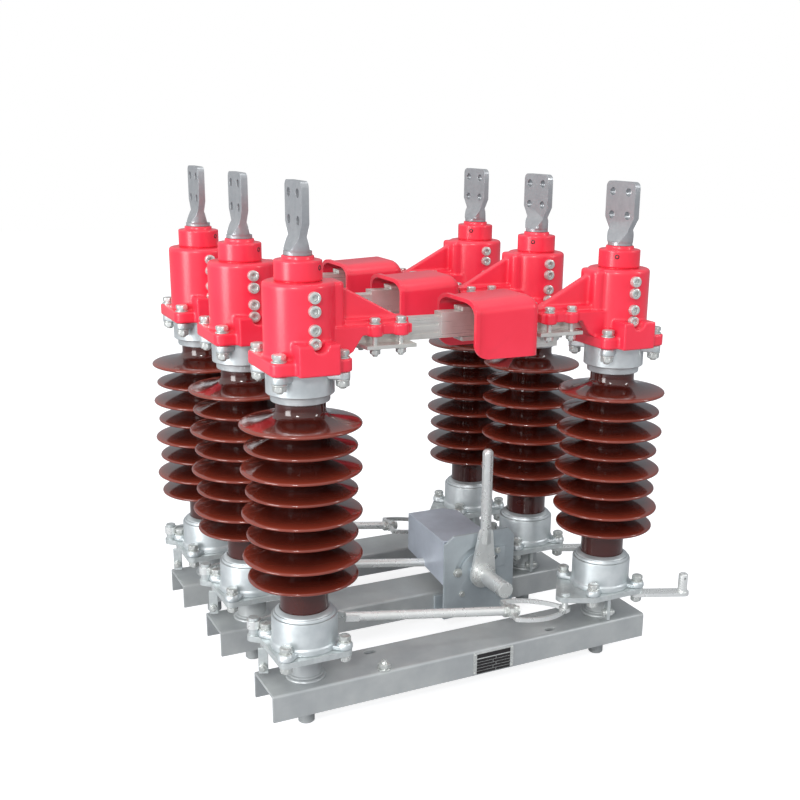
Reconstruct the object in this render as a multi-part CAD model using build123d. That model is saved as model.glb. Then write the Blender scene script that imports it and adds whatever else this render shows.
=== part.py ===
"""Three-pole centre-break disconnect switch with its hand-operated mechanism.

Millimetres, +Z up. The origin is on the floor, on the axis of the front pole's left column.
X runs along a pole from its left column to its right one, and Y runs back through the poles.
Each pole is an upturned steel channel with two turning columns of brown porcelain. The left column
carries the blade and the right one carries the contact under a rain hood. A crossed rod links them.
"""

import os
from math import atan2, cos, degrees, hypot, radians, sin, tan

from build123d import *

# Where the poles stand
column_spacing = 600.0
middle_pole_x = -9.5
middle_pole_y = 267.0
rear_pole_x = -16.5
rear_pole_y = 508.5

# Base channel, laid with its web up
channel_width = 100.0
channel_flange = 48.0
channel_wall = 5.3
channel_overhang = 74.0
slot_from_column = 130.0
slot_spacing_y = 60.0
slot_length = 22.0
slot_width = 12.0

# Bearing pedestals, whose lower ends carry the pole on the floor
stub_radius = 14.0
stub_below_channel = 38.0
stub_hole_clearance = 0.3
pedestal_radius = 27.0
pedestal_height = 39.7
pedestal_weld_radius = 33.0
pedestal_weld_height = 6.0
spindle_radius = 9.0
spindle_length = 60.0
running_clearance = 0.07
turning_gap = 0.3

# Turntables
plate_thickness = 12.0
lug_offset = 51.0
lug_radius = 12.0
lug_bolt_radius = 5.5
right_lever_radius = 97.0
right_lever_angle = 194.0
left_lever_angle = 135.0
right_lever_lug_radius = 18.0
left_boss_radius = 9.5
left_boss_height = 21.0
link_pin_radius = 6.0
link_pin_head_radius = 9.0
link_pin_head_height = 5.0
stop_thickness = 6.0
stop_width = 16.0
stop_floor_gap = 6.0
right_stop_radius = 50.0
right_stop_angle = 255.0
left_stop_radius = 70.0
left_stop_angle = 158.0

# Insulator and its end caps
lower_cap_radius = 53.0
lower_cap_height = 56.0
lower_ring_radius = 49.0
lower_ring_height = 13.0
cap_ear_height = 14.0
upper_ear_height = 12.0
upper_cap_radius = 54.0
upper_cap_height = 40.0
upper_ring_radius = 47.0
upper_ring_height = 12.0
insulator_height = 480.0
core_radius = 40.0
cap_bite = 12.0
shed_count = 8
shed_pitch = 36.85
top_shed_below_cap = 47.5
large_shed_radius = 97.5
small_shed_radius = 90.5
shed_root_rise = 19.0
shed_rim_height = 4.0
shed_under_rise = 5.0
core_fillet_radius = 47.0

# Red housings and arms
housing_radius = 56.0
housing_height = 136.0
housing_round = 9.0
ear_height = 21.0
collar_radius = 37.0
collar_height = 32.0
collar_ring_radius = 25.0
collar_ring_height = 6.5
pad_left = -29.0
pad_right = 33.0
pad_face = 81.0
pad_height = 48.0
pad_notch_x = 6.0
pad_notch_radius = 12.5
grub_hole_radius = 3.5
grub_hole_depth = 8.0
arm_root_reach = 70.0
arm_root_half = 28.0
saddle_reach = 178.0
saddle_wall = 5.0
arm_bolt_near = 115.0
arm_bolt_far = 160.0
arm_bolt_offset = 29.0
arm_boss_radius = 12.5
arm_bolt_radius = 4.5
flange_half = 32.0
flange_height = 20.0
gusset_half = 7.0
gusset_top = 127.0
gusset_reach = 165.0

# Blade and contact
blade_half = 13.0
blade_height = 42.0
blade_above_cap = 33.0
blade_start = 64.0
blade_tip = 330.0
blade_head_start = 230.0
blade_head_rise = 4.0
blade_head_half = 16.0
blade_groove_depth = 2.0
blade_groove_width = 6.0
blade_groove_offset = 7.5
clamp_plate_thickness = 6.0
clamp_plate_start = 97.0
clamp_plate_end = 183.0
clamp_plate_half = 40.0
contact_block_start = 216.0
contact_block_end = 244.0
finger_reach = 334.0
finger_count = 3
finger_width = 9.0
finger_pitch = 11.5
finger_height = 7.0
finger_gap = 0.5
support_start = 124.0
support_drop = 22.0
support_half = 16.0
support_thickness = 8.0

# Rain hood
hood_mouth = 326.0
hood_back = 204.0
hood_half = 67.0
hood_bottom = -2.0
hood_mouth_height = 98.0
hood_back_height = 105.0
hood_wall = 4.0
hood_corner = 34.0
hood_back_round = 16.0
hood_foot_round = 28.0
hood_lip = 3.0
hood_lip_width = 8.0

# Terminal palms
palm_width = 74.0
palm_thickness = 12.0
palm_height = 110.0
palm_corner = 10.0
palm_taper_height = 48.0
palm_root_height = 28.0
palm_root_width = 50.0
palm_ledge_reach = 17.0
palm_back_reach = 13.0
palm_foot_radius = 22.0
palm_foot_height = 6.0
palm_hole_radius = 7.0
palm_hole_spacing = 40.0
palm_hole_below_top = 38.0
palm_spindle_radius = 12.0
palm_spindle_length = 55.0
palm_turns = {"front": 7.0, "middle": 7.0, "rear": 7.0}

# Link rods
rod_radius = 8.5
rod_eye_radius = 12.0
rod_eye_height = 14.0
rod_left_height = 80.0
rod_right_height = 26.0
bow_chord = 170.0
bow_rise = 27.0
bow_thickness = 6.0
bow_height = 11.0
fork_length = 112.0
fork_half_spread = 40.0
fork_thickness = 6.0
fork_height = 8.0
fork_eye_radius = 11.0
fork_pin_gap = 1.0
fork_pin_below = 4.0
trunnion_length = 8.0
trunnion_width = 26.0
trunnion_height = 18.0
rod_nut_radius = 10.0
rod_nut_length = 8.0
rod_tail = 18.0

# Drive levers
drive_bar_width = 26.0
drive_bar_thickness = 7.0
drive_bar_end = 15.0
drive_pin_x = 140.0
drive_pin_y = -67.0
drive_pin_radius = 9.0
drive_pin_height = 36.0
clevis_half = 15.0
clevis_height = 26.0
clevis_lift = 3.0
clevis_neck_radius = 8.0
clevis_neck_length = 14.0
pipe_radius = 13.0
pipe_wall = 3.0
pipe_length = 46.0

# Hand mechanism, bolted to the middle pole's channel
mech_left = 352.0
mech_right = 507.0
mech_front = 172.0
mech_wall = 6.0
mech_top = 126.0
mech_bottom = -42.0
mech_corner_left = 20.0
mech_corner_right = 14.0
mech_tab_height = 34.0
shaft_x = 430.0
shaft_z = 46.0
shaft_radius = 16.0
shaft_neck_radius = 12.0
shaft_front = 68.0
shaft_inside = 14.0
hub_radius = 24.0
hub_length = 8.0
quadrant_radius = 51.0
quadrant_width = 13.0
quadrant_from = 98.0
quadrant_to = 172.0
lock_hole_x = 464.0
lock_hole_z = 74.0
lock_hole_radius = 4.5
lock_plate_half = 21.0
lock_plate_thickness = 4.0
cover_left = 356.0
cover_right = 452.0
cover_depth = 160.0
cover_bottom = 50.0
cover_top = 129.0
cover_wall = 2.5
cover_corner = 24.0
handle_plate_thickness = 8.0
handle_hub_radius = 27.0
handle_neck_radius = 15.0
handle_plate_reach = 84.0
handle_rod_radius = 10.5
handle_rod_offset = 4.0
handle_rod_start = 66.0
handle_reach = 259.0
handle_collar_radius = 22.0
handle_collar_length = 8.0

# Levels and places that follow from the sizes above
web = stub_below_channel + channel_flange
plate_bottom = web + pedestal_height + turning_gap
plate_top = plate_bottom + plate_thickness
cap_top = plate_top + insulator_height
collar_base = cap_top + housing_height
collar_top = collar_base + collar_height
blade_bottom = cap_top + blade_above_cap
blade_top = blade_bottom + blade_height
drive_top = plate_bottom

# The left lever is as long as closes the crossed linkage both with the pole closed and with each
# column turned a quarter turn
lever_difference = cos(radians(right_lever_angle - left_lever_angle))
left_lever_radius = (
    column_spacing
    * right_lever_radius
    * (cos(radians(right_lever_angle)) + sin(radians(right_lever_angle)))
    / (
        column_spacing * (cos(radians(left_lever_angle)) - sin(radians(left_lever_angle)))
        + 2 * right_lever_radius * lever_difference
    )
)
left_pin = (
    left_lever_radius * cos(radians(left_lever_angle)),
    left_lever_radius * sin(radians(left_lever_angle)),
)
right_pin = (
    right_lever_radius * cos(radians(right_lever_angle)),
    right_lever_radius * sin(radians(right_lever_angle)),
)

poles = {
    "front": (0.0, 0.0),
    "middle": (middle_pole_x, middle_pole_y),
    "rear": (rear_pole_x, rear_pole_y),
}


def post(radius, low, high, x=0.0, y=0.0):
    """An upright cylinder between two levels."""
    return Pos(x, y, (low + high) / 2) * Cylinder(radius, high - low)


def block(x0, x1, y0, y1, z0, z1):
    """A box between six planes."""
    return Pos((x0 + x1) / 2, (y0 + y1) / 2, (z0 + z1) / 2) * Box(x1 - x0, y1 - y0, z1 - z0)


def wrap(points, radii, low, high):
    """A flat plate whose outline is stretched round a ring of upright rollers."""
    rollers = Sketch() + [Pos(x, y) * Circle(r) for (x, y), r in zip(points, radii)]
    outline = make_hull(rollers.edges())
    return extrude(Pos(0, 0, low) * outline, high - low)


def lugs():
    """The four bolt places round a column, in order from the back right."""
    return [(sx * lug_offset, sy * lug_offset) for sx, sy in ((1, 1), (-1, 1), (-1, -1), (1, -1))]


def mirrored(shape):
    """The same piece for the right column, handed along X."""
    return mirror(shape, about=Plane.YZ)


def base_channel():
    """An upturned channel with its slots and the two holes that the stubs pass through."""
    low = web - channel_flange
    half = channel_width / 2
    outer = block(-channel_overhang, column_spacing + channel_overhang, -half, half, low, web)
    outer = fillet(outer.edges().filter_by(Axis.X).group_by(Axis.Z)[-1], channel_wall)
    inner_half = half - channel_wall
    body = outer - block(
        -channel_overhang - 1,
        column_spacing + channel_overhang + 1,
        -inner_half,
        inner_half,
        low - 1,
        web - channel_wall,
    )
    for x in (slot_from_column, column_spacing - slot_from_column):
        for side in (-1, 1):
            slot = SlotOverall(slot_length, slot_width)
            cut = extrude(Pos(x, side * slot_spacing_y / 2, web - channel_wall - 1) * slot, channel_wall + 2)
            body -= cut
    for x in (0.0, column_spacing):
        body -= post(stub_radius + stub_hole_clearance, web - channel_wall - 1, web + 1, x)
    return body


def pedestal(x):
    """A bearing pedestal standing on the web, with its stub down to the floor."""
    top = web + pedestal_height
    body = post(pedestal_radius, web, top)
    weld = Pos(0, 0, web + pedestal_weld_height / 2) * Cone(
        pedestal_weld_radius, pedestal_radius, pedestal_weld_height
    )
    stub = post(stub_radius, 0, web)
    bore = post(spindle_radius + running_clearance, plate_bottom - spindle_length - 1, top + 1)
    return Pos(x, 0, 0) * (body + weld + stub - bore)


def hanging_stop(radius, angle):
    """The travel stop that hangs under a turntable."""
    tab = block(
        radius - stop_width / 2,
        radius + stop_width / 2,
        -stop_thickness / 2,
        stop_thickness / 2,
        web + stop_floor_gap,
        plate_bottom,
    )
    return Rot(0, 0, angle) * tab


def turntable(hand):
    """A cast plate with four lugs, a spindle, a stop and the lever lug of the link rod."""
    corners = lugs()
    body = wrap(corners, [lug_radius] * 4, plate_bottom, plate_top)
    if hand == "right":
        arm = [right_pin, corners[1], corners[2]]
        body += wrap(arm, [right_lever_lug_radius, lug_radius, lug_radius], plate_bottom, plate_top)
        body += post(link_pin_head_radius, plate_top, plate_top + link_pin_head_height, *right_pin)
        body += hanging_stop(right_stop_radius, right_stop_angle)
    else:
        body += wrap([left_pin, corners[1]], [lug_radius, lug_radius], plate_bottom, plate_top)
        boss_top = web + rod_left_height - rod_eye_height / 2 - turning_gap
        eye_top = web + rod_left_height + rod_eye_height / 2 + turning_gap
        body += post(left_boss_radius, plate_top, boss_top, *left_pin)
        body += post(link_pin_radius, plate_top, eye_top, *left_pin)
        body += post(link_pin_head_radius, eye_top, eye_top + link_pin_head_height, *left_pin)
        body += hanging_stop(left_stop_radius, left_stop_angle)
    for x, y in corners:
        body -= post(lug_bolt_radius, plate_bottom - 1, plate_top + 1, x, y)
    return body + post(spindle_radius, plate_bottom - spindle_length, plate_bottom)


def caps():
    """The cast end caps of one insulator: the lower one with four ears, and the upper one."""
    bite = cap_bite
    ring_base = plate_top + lower_cap_height
    ring_top = ring_base + lower_ring_height
    lower = post(lower_cap_radius, plate_top, ring_base) + post(lower_ring_radius, ring_base, ring_top)
    for angle in (45, 135, 225, 315):
        reach = block(0, hypot(lug_offset, lug_offset), -lug_radius, lug_radius, plate_top, plate_top + cap_ear_height)
        lower += Rot(0, 0, angle) * reach
    for x, y in lugs():
        lower += post(lug_radius, plate_top, plate_top + cap_ear_height, x, y)
        lower -= post(lug_bolt_radius, plate_top - 1, plate_top + cap_ear_height + 1, x, y)
    lower -= post(core_radius, ring_top - bite, ring_top + 1)
    cap_base = cap_top - upper_cap_height
    ring_low = cap_base - upper_ring_height
    upper = post(upper_cap_radius, cap_base, cap_top) + post(upper_ring_radius, ring_low, cap_base)
    for angle in (45, 135, 225, 315):
        reach = block(0, hypot(lug_offset, lug_offset), -lug_radius, lug_radius, cap_top - upper_ear_height, cap_top)
        upper += Rot(0, 0, angle) * reach
    for x, y in lugs():
        upper += post(lug_radius, cap_top - upper_ear_height, cap_top, x, y)
        upper -= post(lug_bolt_radius, cap_top - upper_ear_height - 1, cap_top + 1, x, y)
    upper -= post(core_radius, ring_low - 1, ring_low + bite)
    return [lower, upper]


def porcelain():
    """One insulator: a core with sheds that alternate large and small from the top."""
    foot = plate_top + lower_cap_height + lower_ring_height - cap_bite
    head = cap_top - upper_cap_height - upper_ring_height + cap_bite
    outline = [(0, head), (core_radius, head)]
    for index in range(shed_count):
        rim = cap_top - upper_cap_height - top_shed_below_cap - index * shed_pitch
        reach = small_shed_radius if index % 2 else large_shed_radius
        outline += [
            (core_radius, rim + shed_root_rise),
            (core_fillet_radius, rim + shed_root_rise * 0.62),
            (reach, rim + shed_rim_height / 2),
            (reach, rim - shed_rim_height / 2),
            (core_fillet_radius, rim + shed_under_rise - shed_rim_height),
            (core_radius, rim - shed_rim_height),
        ]
    outline += [(core_radius, foot), (0, foot)]
    face = make_face(Polyline(*outline, close=True))
    return revolve(Plane.XZ * face, Axis.Z)


def arm_casting():
    """The red housing with its collar, ears, front pad, arm, gusset and saddle over the blade."""
    shell = post(housing_radius, cap_top, collar_base)
    shell = fillet(shell.edges().group_by(Axis.Z)[-1], housing_round)
    body = shell + post(collar_radius, collar_base, collar_top)
    body += post(collar_ring_radius, collar_top, collar_top + collar_ring_height)
    body += wrap(lugs(), [lug_radius] * 4, cap_top, cap_top + ear_height)
    body += block(pad_left, pad_right, -pad_face, 0, cap_top, cap_top + pad_height)
    notch = Rot(90, 0, 0) * Cylinder(pad_notch_radius, pad_face - housing_radius + 4)
    body -= Pos(pad_notch_x, -(pad_face + housing_radius) / 2, cap_top + pad_height) * notch

    flange_top = blade_top - saddle_wall
    flange_low = flange_top - flange_height
    root = block(0, arm_root_reach, -arm_root_half, arm_root_half, cap_top + ear_height, collar_base - housing_round)
    body += fillet(root.edges().filter_by(Axis.Z).group_by(Axis.X)[-1], housing_round)
    saddle_half = blade_half + saddle_wall
    body += block(0, saddle_reach, -saddle_half, saddle_half, flange_low, blade_top + saddle_wall)
    side = [
        (0, cap_top + ear_height),
        (arm_root_reach, cap_top + ear_height),
        (arm_root_reach + 8, cap_top + ear_height + 4),
        (arm_bolt_near - 22, flange_low),
        (saddle_reach, flange_low),
        (saddle_reach, flange_top),
        (0, flange_top),
    ]
    profile = Plane.XZ * make_face(Polyline(*side, close=True))
    body += extrude(profile, flange_half, both=True)
    gusset = [
        (0, cap_top + gusset_top),
        (arm_root_reach, cap_top + gusset_top),
        (gusset_reach, blade_top + saddle_wall),
        (0, blade_top + saddle_wall),
    ]
    body += extrude(Plane.XZ * make_face(Polyline(*gusset, close=True)), gusset_half, both=True)
    for x in (arm_bolt_near, arm_bolt_far):
        for y in (-arm_bolt_offset, arm_bolt_offset):
            body += post(arm_boss_radius, flange_low - 2, flange_top + 3, x, y)
            body -= post(arm_bolt_radius, flange_low - 3, flange_top + 4, x, y)
    for x, y in lugs():
        body -= post(lug_bolt_radius, cap_top - 1, cap_top + ear_height + 1, x, y)
    slot_half = blade_half
    body -= block(blade_start, saddle_reach + 1, -slot_half, slot_half, cap_top + ear_height - 1, blade_top)
    bore_low = collar_top + collar_ring_height - palm_spindle_length
    body -= post(palm_spindle_radius + running_clearance, bore_low - 1, collar_top + collar_ring_height + 1)
    grub = Rot(90, 0, 0) * Cylinder(grub_hole_radius, grub_hole_depth)
    body -= Pos(0, -collar_radius + grub_hole_depth / 2 - 1, collar_base + collar_height * 0.62) * grub
    return body


def clamp_plate():
    """The steel plate under the saddle that the arm bolts pull up against the bar."""
    plate = block(
        clamp_plate_start,
        clamp_plate_end,
        -clamp_plate_half,
        clamp_plate_half,
        blade_bottom - clamp_plate_thickness,
        blade_bottom,
    )
    for x in (arm_bolt_near, arm_bolt_far):
        for y in (-arm_bolt_offset, arm_bolt_offset):
            plate -= post(arm_bolt_radius, blade_bottom - clamp_plate_thickness - 1, blade_bottom + 1, x, y)
    return plate


def blade():
    """The contact blade: a bar with two grooves down each side and a rounded tip."""
    bar = block(blade_start, blade_tip, -blade_half, blade_half, blade_bottom, blade_top)
    bar = fillet(bar.edges().filter_by(Axis.Z).group_by(Axis.X)[-1], blade_half * 0.7)
    middle = (blade_bottom + blade_top) / 2
    for side in (-1, 1):
        for offset in (-blade_groove_offset, blade_groove_offset):
            bar -= block(
                saddle_reach + 4,
                blade_head_start - 4,
                side * blade_half - blade_groove_depth,
                side * blade_half + blade_groove_depth,
                middle + offset - blade_groove_width / 2,
                middle + offset + blade_groove_width / 2,
            )
    head = block(
        blade_head_start,
        blade_tip - blade_half / 2,
        -blade_head_half,
        blade_head_half,
        blade_bottom,
        blade_top + blade_head_rise,
    )
    return [bar + head, clamp_plate()]


def contact():
    """The fixed contact: its bar, the block that holds the fingers, and the hood's support."""
    bar = block(blade_start, contact_block_start, -blade_half, blade_half, blade_bottom, blade_top)
    reach = finger_height + finger_gap
    upper = blade_top + blade_head_rise + finger_gap
    half = (finger_count - 1) * finger_pitch / 2 + finger_width / 2
    bar += block(contact_block_start, contact_block_end, -half, half, blade_bottom - reach, upper + finger_height)
    for index in range(finger_count):
        y = (index - (finger_count - 1) / 2) * finger_pitch
        for low in (blade_bottom - reach, upper):
            finger = block(
                contact_block_end,
                finger_reach,
                y - finger_width / 2,
                y + finger_width / 2,
                low,
                low + finger_height,
            )
            bar += finger
    low = blade_bottom - clamp_plate_thickness
    support = block(support_start, hood_back, -support_half, support_half, low - support_thickness, low)
    support += block(
        support_start + 10,
        clamp_plate_end,
        -support_half,
        support_half,
        low - support_drop,
        low - support_thickness,
    )
    return [bar, clamp_plate(), support]


def arch(x, height, half, corner, bottom):
    """A flat arch that stands across the hood: upright sides with rounded shoulders between them."""
    face = Pos(0, (bottom + height) / 2) * Rectangle(2 * half, height - bottom)
    face = fillet(face.vertices().group_by(Axis.Y)[-1], corner)
    return Plane.YZ.offset(x) * face


def hood():
    """The rain hood: an arched sheet open below and towards the blade, that rises to its back."""
    low = cap_top + hood_bottom
    inner_half = hood_half - hood_wall
    inner_corner = hood_corner - hood_wall
    back_inside = hood_back + hood_wall
    outer = loft([
        arch(hood_back, low + hood_back_height, hood_half, hood_corner, low),
        arch(hood_mouth, low + hood_mouth_height, hood_half, hood_corner, low),
    ])
    outer = fillet(outer.faces().sort_by(Axis.X)[0].edges().group_by(Axis.Z)[1:], hood_back_round)
    lip = loft([
        arch(hood_mouth - hood_lip_width, low + hood_mouth_height + hood_lip, hood_half + hood_lip, hood_corner, low),
        arch(hood_mouth, low + hood_mouth_height + hood_lip, hood_half + hood_lip, hood_corner, low),
    ])
    inner = loft([
        arch(back_inside, low + hood_back_height - hood_wall, inner_half, inner_corner, low - 10),
        arch(hood_mouth + 1, low + hood_mouth_height - hood_wall, inner_half, inner_corner, low - 10),
    ])
    inner = fillet(inner.faces().sort_by(Axis.X)[0].edges().group_by(Axis.Z)[1:], hood_back_round - hood_wall)
    body = outer + lip - inner
    way = block(hood_back - 1, hood_back + hood_back_round, -blade_half, blade_half, blade_bottom, blade_top)
    corner = block(
        hood_mouth - hood_foot_round,
        hood_mouth + 1,
        -hood_half - hood_lip - 1,
        hood_half + hood_lip + 1,
        low - 1,
        low + hood_foot_round,
    )
    roller = Rot(90, 0, 0) * Cylinder(hood_foot_round, 2 * (hood_half + hood_lip) + 4)
    corner -= Pos(hood_mouth - hood_foot_round, 0, low + hood_foot_round) * roller
    return body - way - corner


def terminal(turn):
    """A cast palm with four holes on a round foot, turned about the column's axis."""
    foot_low = collar_top + collar_ring_height + turning_gap
    top = foot_low + palm_height
    half = palm_width / 2
    root_half = palm_root_width / 2
    root_top = foot_low + palm_root_height
    shoulder = foot_low + palm_taper_height
    outline = [
        (-root_half, root_top),
        (root_half, root_top),
        (half, shoulder),
        (half, top),
        (-half, top),
        (-half, shoulder),
    ]
    plate = extrude(Plane.YZ * make_face(Polyline(*outline, close=True)), palm_thickness / 2, both=True)
    corners = plate.edges().filter_by(Axis.X).group_by(Axis.Z)[-1]
    plate = fillet(corners, palm_corner)
    thin = palm_thickness / 2
    wedge = [
        (-palm_ledge_reach, foot_low + palm_foot_height - 1),
        (palm_back_reach, foot_low + palm_foot_height - 1),
        (palm_back_reach, foot_low + palm_foot_height),
        (thin, root_top),
        (-thin, root_top),
        (-palm_ledge_reach, foot_low + palm_foot_height + 2),
    ]
    neck = extrude(Plane.XZ * make_face(Polyline(*wedge, close=True)), root_half, both=True)
    cone = Pos(0, 0, (foot_low + root_top) / 2) * Cone(palm_foot_radius, root_half * 1.1, palm_root_height)
    body = plate + (neck & cone) + post(palm_foot_radius, foot_low, foot_low + palm_foot_height)
    body += post(palm_spindle_radius, foot_low + turning_gap - palm_spindle_length, foot_low)
    for y in (-palm_hole_spacing / 2, palm_hole_spacing / 2):
        for drop in (-palm_hole_spacing / 2, palm_hole_spacing / 2):
            hole = Rot(0, 90, 0) * Cylinder(palm_hole_radius, palm_thickness * 2)
            body -= Pos(0, y, top - palm_hole_below_top + drop) * hole
    return Rot(0, 0, turn) * body


def link_rod():
    """The crossed rod: an eye and a bowed bar at the left, and an open yoke at the right."""
    span_x = column_spacing + right_pin[0] - left_pin[0]
    span_y = right_pin[1] - left_pin[1]
    span = hypot(span_x, span_y)
    heading = degrees(atan2(span_y, span_x))
    drop = rod_left_height - rod_right_height
    slope = degrees(atan2(drop, span))
    run = hypot(span, drop)

    chord_end = bow_chord
    arc_outer = ThreePointArc((0, bow_thickness / 2), (chord_end / 2, bow_rise + bow_thickness / 2), (chord_end, bow_thickness / 2))
    arc_inner = ThreePointArc((chord_end, -bow_thickness / 2), (chord_end / 2, bow_rise - bow_thickness / 2), (0, -bow_thickness / 2))
    bow_face = make_face([
        arc_outer,
        Line((chord_end, bow_thickness / 2), (chord_end, -bow_thickness / 2)),
        arc_inner,
        Line((0, -bow_thickness / 2), (0, bow_thickness / 2)),
    ])
    bow = extrude(bow_face, bow_height / 2, both=True)

    block_x = run - fork_length
    rod_end = block_x + rod_tail
    rod = Pos((chord_end + rod_end) / 2 - 6, 0, 0) * Rot(0, 90, 0) * Cylinder(rod_radius, rod_end - chord_end + 12)
    collar = Pos(chord_end, 0, 0) * Box(24, 2 * rod_radius + 2, bow_height)
    trunnion = Pos(block_x, 0, 0) * Box(trunnion_length, 2 * fork_half_spread, fork_height)
    trunnion += Pos(block_x, 0, 0) * Box(trunnion_length, trunnion_width, trunnion_height)
    nut = Rot(0, 90, 0) * Cylinder(rod_nut_radius, rod_nut_length)
    nut_step = (trunnion_length + rod_nut_length) / 2
    body = bow + rod + collar + trunnion
    for x in (block_x - nut_step, block_x + nut_step):
        body += Pos(x, 0, 0) * nut
    for side in (-1, 1):
        start = (block_x - trunnion_length / 2 + 1, side * (fork_half_spread - 1))
        middle = (block_x + fork_length * 0.42, side * (fork_half_spread + 2))
        end = (run, side * fork_eye_radius * 0.5)
        outer = [(px, py + side * fork_thickness / 2) for px, py in (start, middle, end)]
        inner = [(px, py - side * fork_thickness / 2) for px, py in (start, middle, end)]
        path_out = Spline(*outer)
        path_in = Spline(*inner)
        face = make_face([
            path_out,
            Line(outer[-1], inner[-1]),
            path_in,
            Line(inner[0], outer[0]),
        ])
        body += extrude(face, fork_height / 2, both=True)
    body = Rot(0, slope, 0) * body
    body = Pos(0, 0, web + rod_left_height) * body

    left_low = web + rod_left_height - rod_eye_height / 2
    body += post(rod_eye_radius, left_low, left_low + rod_eye_height)
    right_low = web + rod_right_height - fork_height / 2
    body += post(fork_eye_radius, right_low, right_low + fork_height, span)
    body += post(link_pin_radius, right_low - fork_pin_below, plate_bottom - fork_pin_gap, span)
    body -= post(link_pin_radius + running_clearance, left_low - 20, left_low + 40)
    return Pos(left_pin[0], left_pin[1], 0) * Rot(0, 0, heading) * body


def drive_lever():
    """The flat lever bolted under a lug of the right turntable, with its upright pin."""
    inner = (lug_offset, -lug_offset)
    heading = degrees(atan2(drive_pin_y - inner[1], drive_pin_x - inner[0]))
    span = hypot(drive_pin_x - inner[0], drive_pin_y - inner[1])
    bar = Pos(0, 0, drive_top - drive_bar_thickness) * SlotCenterToCenter(span, drive_bar_width).translate(
        Vector(span / 2, 0, 0)
    )
    body = extrude(bar, drive_bar_thickness)
    body = Pos(inner[0], inner[1], 0) * Rot(0, 0, heading) * body
    body -= post(lug_bolt_radius, drive_top - drive_bar_thickness - 1, drive_top + 1, *inner)
    pin = post(drive_pin_radius, drive_top - drive_bar_thickness, drive_top + drive_pin_height)
    pin = chamfer(pin.edges().group_by(Axis.Z)[-1], 2)
    cotter = Pos(0, 0, drive_top + drive_pin_height - 8) * Rot(90, 0, 0) * Cylinder(2, drive_pin_radius * 3)
    return body + Pos(drive_pin_x, drive_pin_y, 0) * (pin - cotter)


def clevis():
    """The coupling on the middle pole's lever pin, and its short length of pipe."""
    low = drive_top + clevis_lift
    high = low + clevis_height
    middle = (low + high) / 2
    head = block(-clevis_half, clevis_half, -clevis_half, clevis_half, low, high)
    head = fillet(head.edges().filter_by(Axis.Z).group_by(Axis.Y)[-1], clevis_half * 0.9)
    head -= post(drive_pin_radius + running_clearance, low - 1, high + 1)
    neck_end = -clevis_half - clevis_neck_length
    neck = Pos(0, (neck_end - clevis_half) / 2, middle) * Rot(90, 0, 0) * Cylinder(clevis_neck_radius, clevis_neck_length)
    pipe = Rot(90, 0, 0) * Cylinder(pipe_radius, pipe_length)
    pipe -= Pos(0, -pipe_wall, 0) * Rot(90, 0, 0) * Cylinder(pipe_radius - pipe_wall, pipe_length)
    return Pos(drive_pin_x, drive_pin_y, 0) * (head + neck + Pos(0, neck_end - pipe_length / 2, middle) * pipe)


def mechanism_bracket():
    """The front plate with its quadrant slot, bent back below to bolt against the channel."""
    back = mech_front + mech_wall
    flange_face = middle_pole_y - channel_width / 2
    low = web + mech_bottom
    high = web + mech_top
    outline = [
        (mech_left, low),
        (mech_right, low),
        (mech_right, high - mech_corner_right),
        (mech_right - mech_corner_right, high),
        (mech_left + mech_corner_left, high),
        (mech_left, high - mech_corner_left),
    ]
    face = Plane.XZ * make_face(Polyline(*outline, close=True))
    body = Pos(0, back, 0) * extrude(face, mech_wall)
    body += block(mech_left, mech_right, mech_front, flange_face, low, low + mech_wall)
    body += block(mech_left, mech_right, flange_face - mech_wall, flange_face, low, low + mech_tab_height)
    axis = Pos(shaft_x, 0, web + shaft_z)
    hub = Rot(90, 0, 0) * Cylinder(hub_radius, hub_length)
    body += axis * Pos(0, mech_front - hub_length / 2, 0) * hub
    arc_middle = (quadrant_from + quadrant_to) / 2
    corners = [
        (quadrant_radius * cos(radians(a)), quadrant_radius * sin(radians(a)))
        for a in (quadrant_from, arc_middle, quadrant_to)
    ]
    slot = SlotArc(ThreePointArc(*corners), quadrant_width)
    body -= axis * Pos(0, back + 1, 0) * extrude(Plane.XZ * slot, mech_wall + 2)
    bore = Rot(90, 0, 0) * Cylinder(shaft_neck_radius + running_clearance, 60)
    body -= axis * Pos(0, mech_front, 0) * bore
    body += block(
        lock_hole_x - lock_plate_half,
        lock_hole_x + lock_plate_half,
        mech_front - lock_plate_thickness,
        mech_front,
        web + lock_hole_z - lock_plate_half,
        web + lock_hole_z + lock_plate_half,
    ) - axis * Pos(0, mech_front, 0) * Rot(90, 0, 0) * Cylinder(hub_radius, 40)
    lock = Rot(90, 0, 0) * Cylinder(lock_hole_radius, 4 * mech_wall)
    body -= Pos(lock_hole_x, mech_front, web + lock_hole_z) * lock
    return body


def mechanism_cover():
    """The folded sheet cover behind the front plate, open below and cut off at one back corner."""
    front = mech_front + mech_wall
    back = front + cover_depth
    low = web + cover_bottom
    high = web + cover_top

    def box(inset):
        outline = [
            (cover_left + inset, front),
            (cover_right - inset, front),
            (cover_right - inset, back - cover_corner - inset * 0.4),
            (cover_right - cover_corner - inset * 0.4, back - inset),
            (cover_left + inset, back - inset),
        ]
        return make_face(Polyline(*outline, close=True))

    outer = extrude(Pos(0, 0, low) * box(0.0), high - low)
    inner = extrude(Pos(0, 0, low - 1) * box(cover_wall), high - low + 1 - cover_wall)
    return outer - inner


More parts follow.
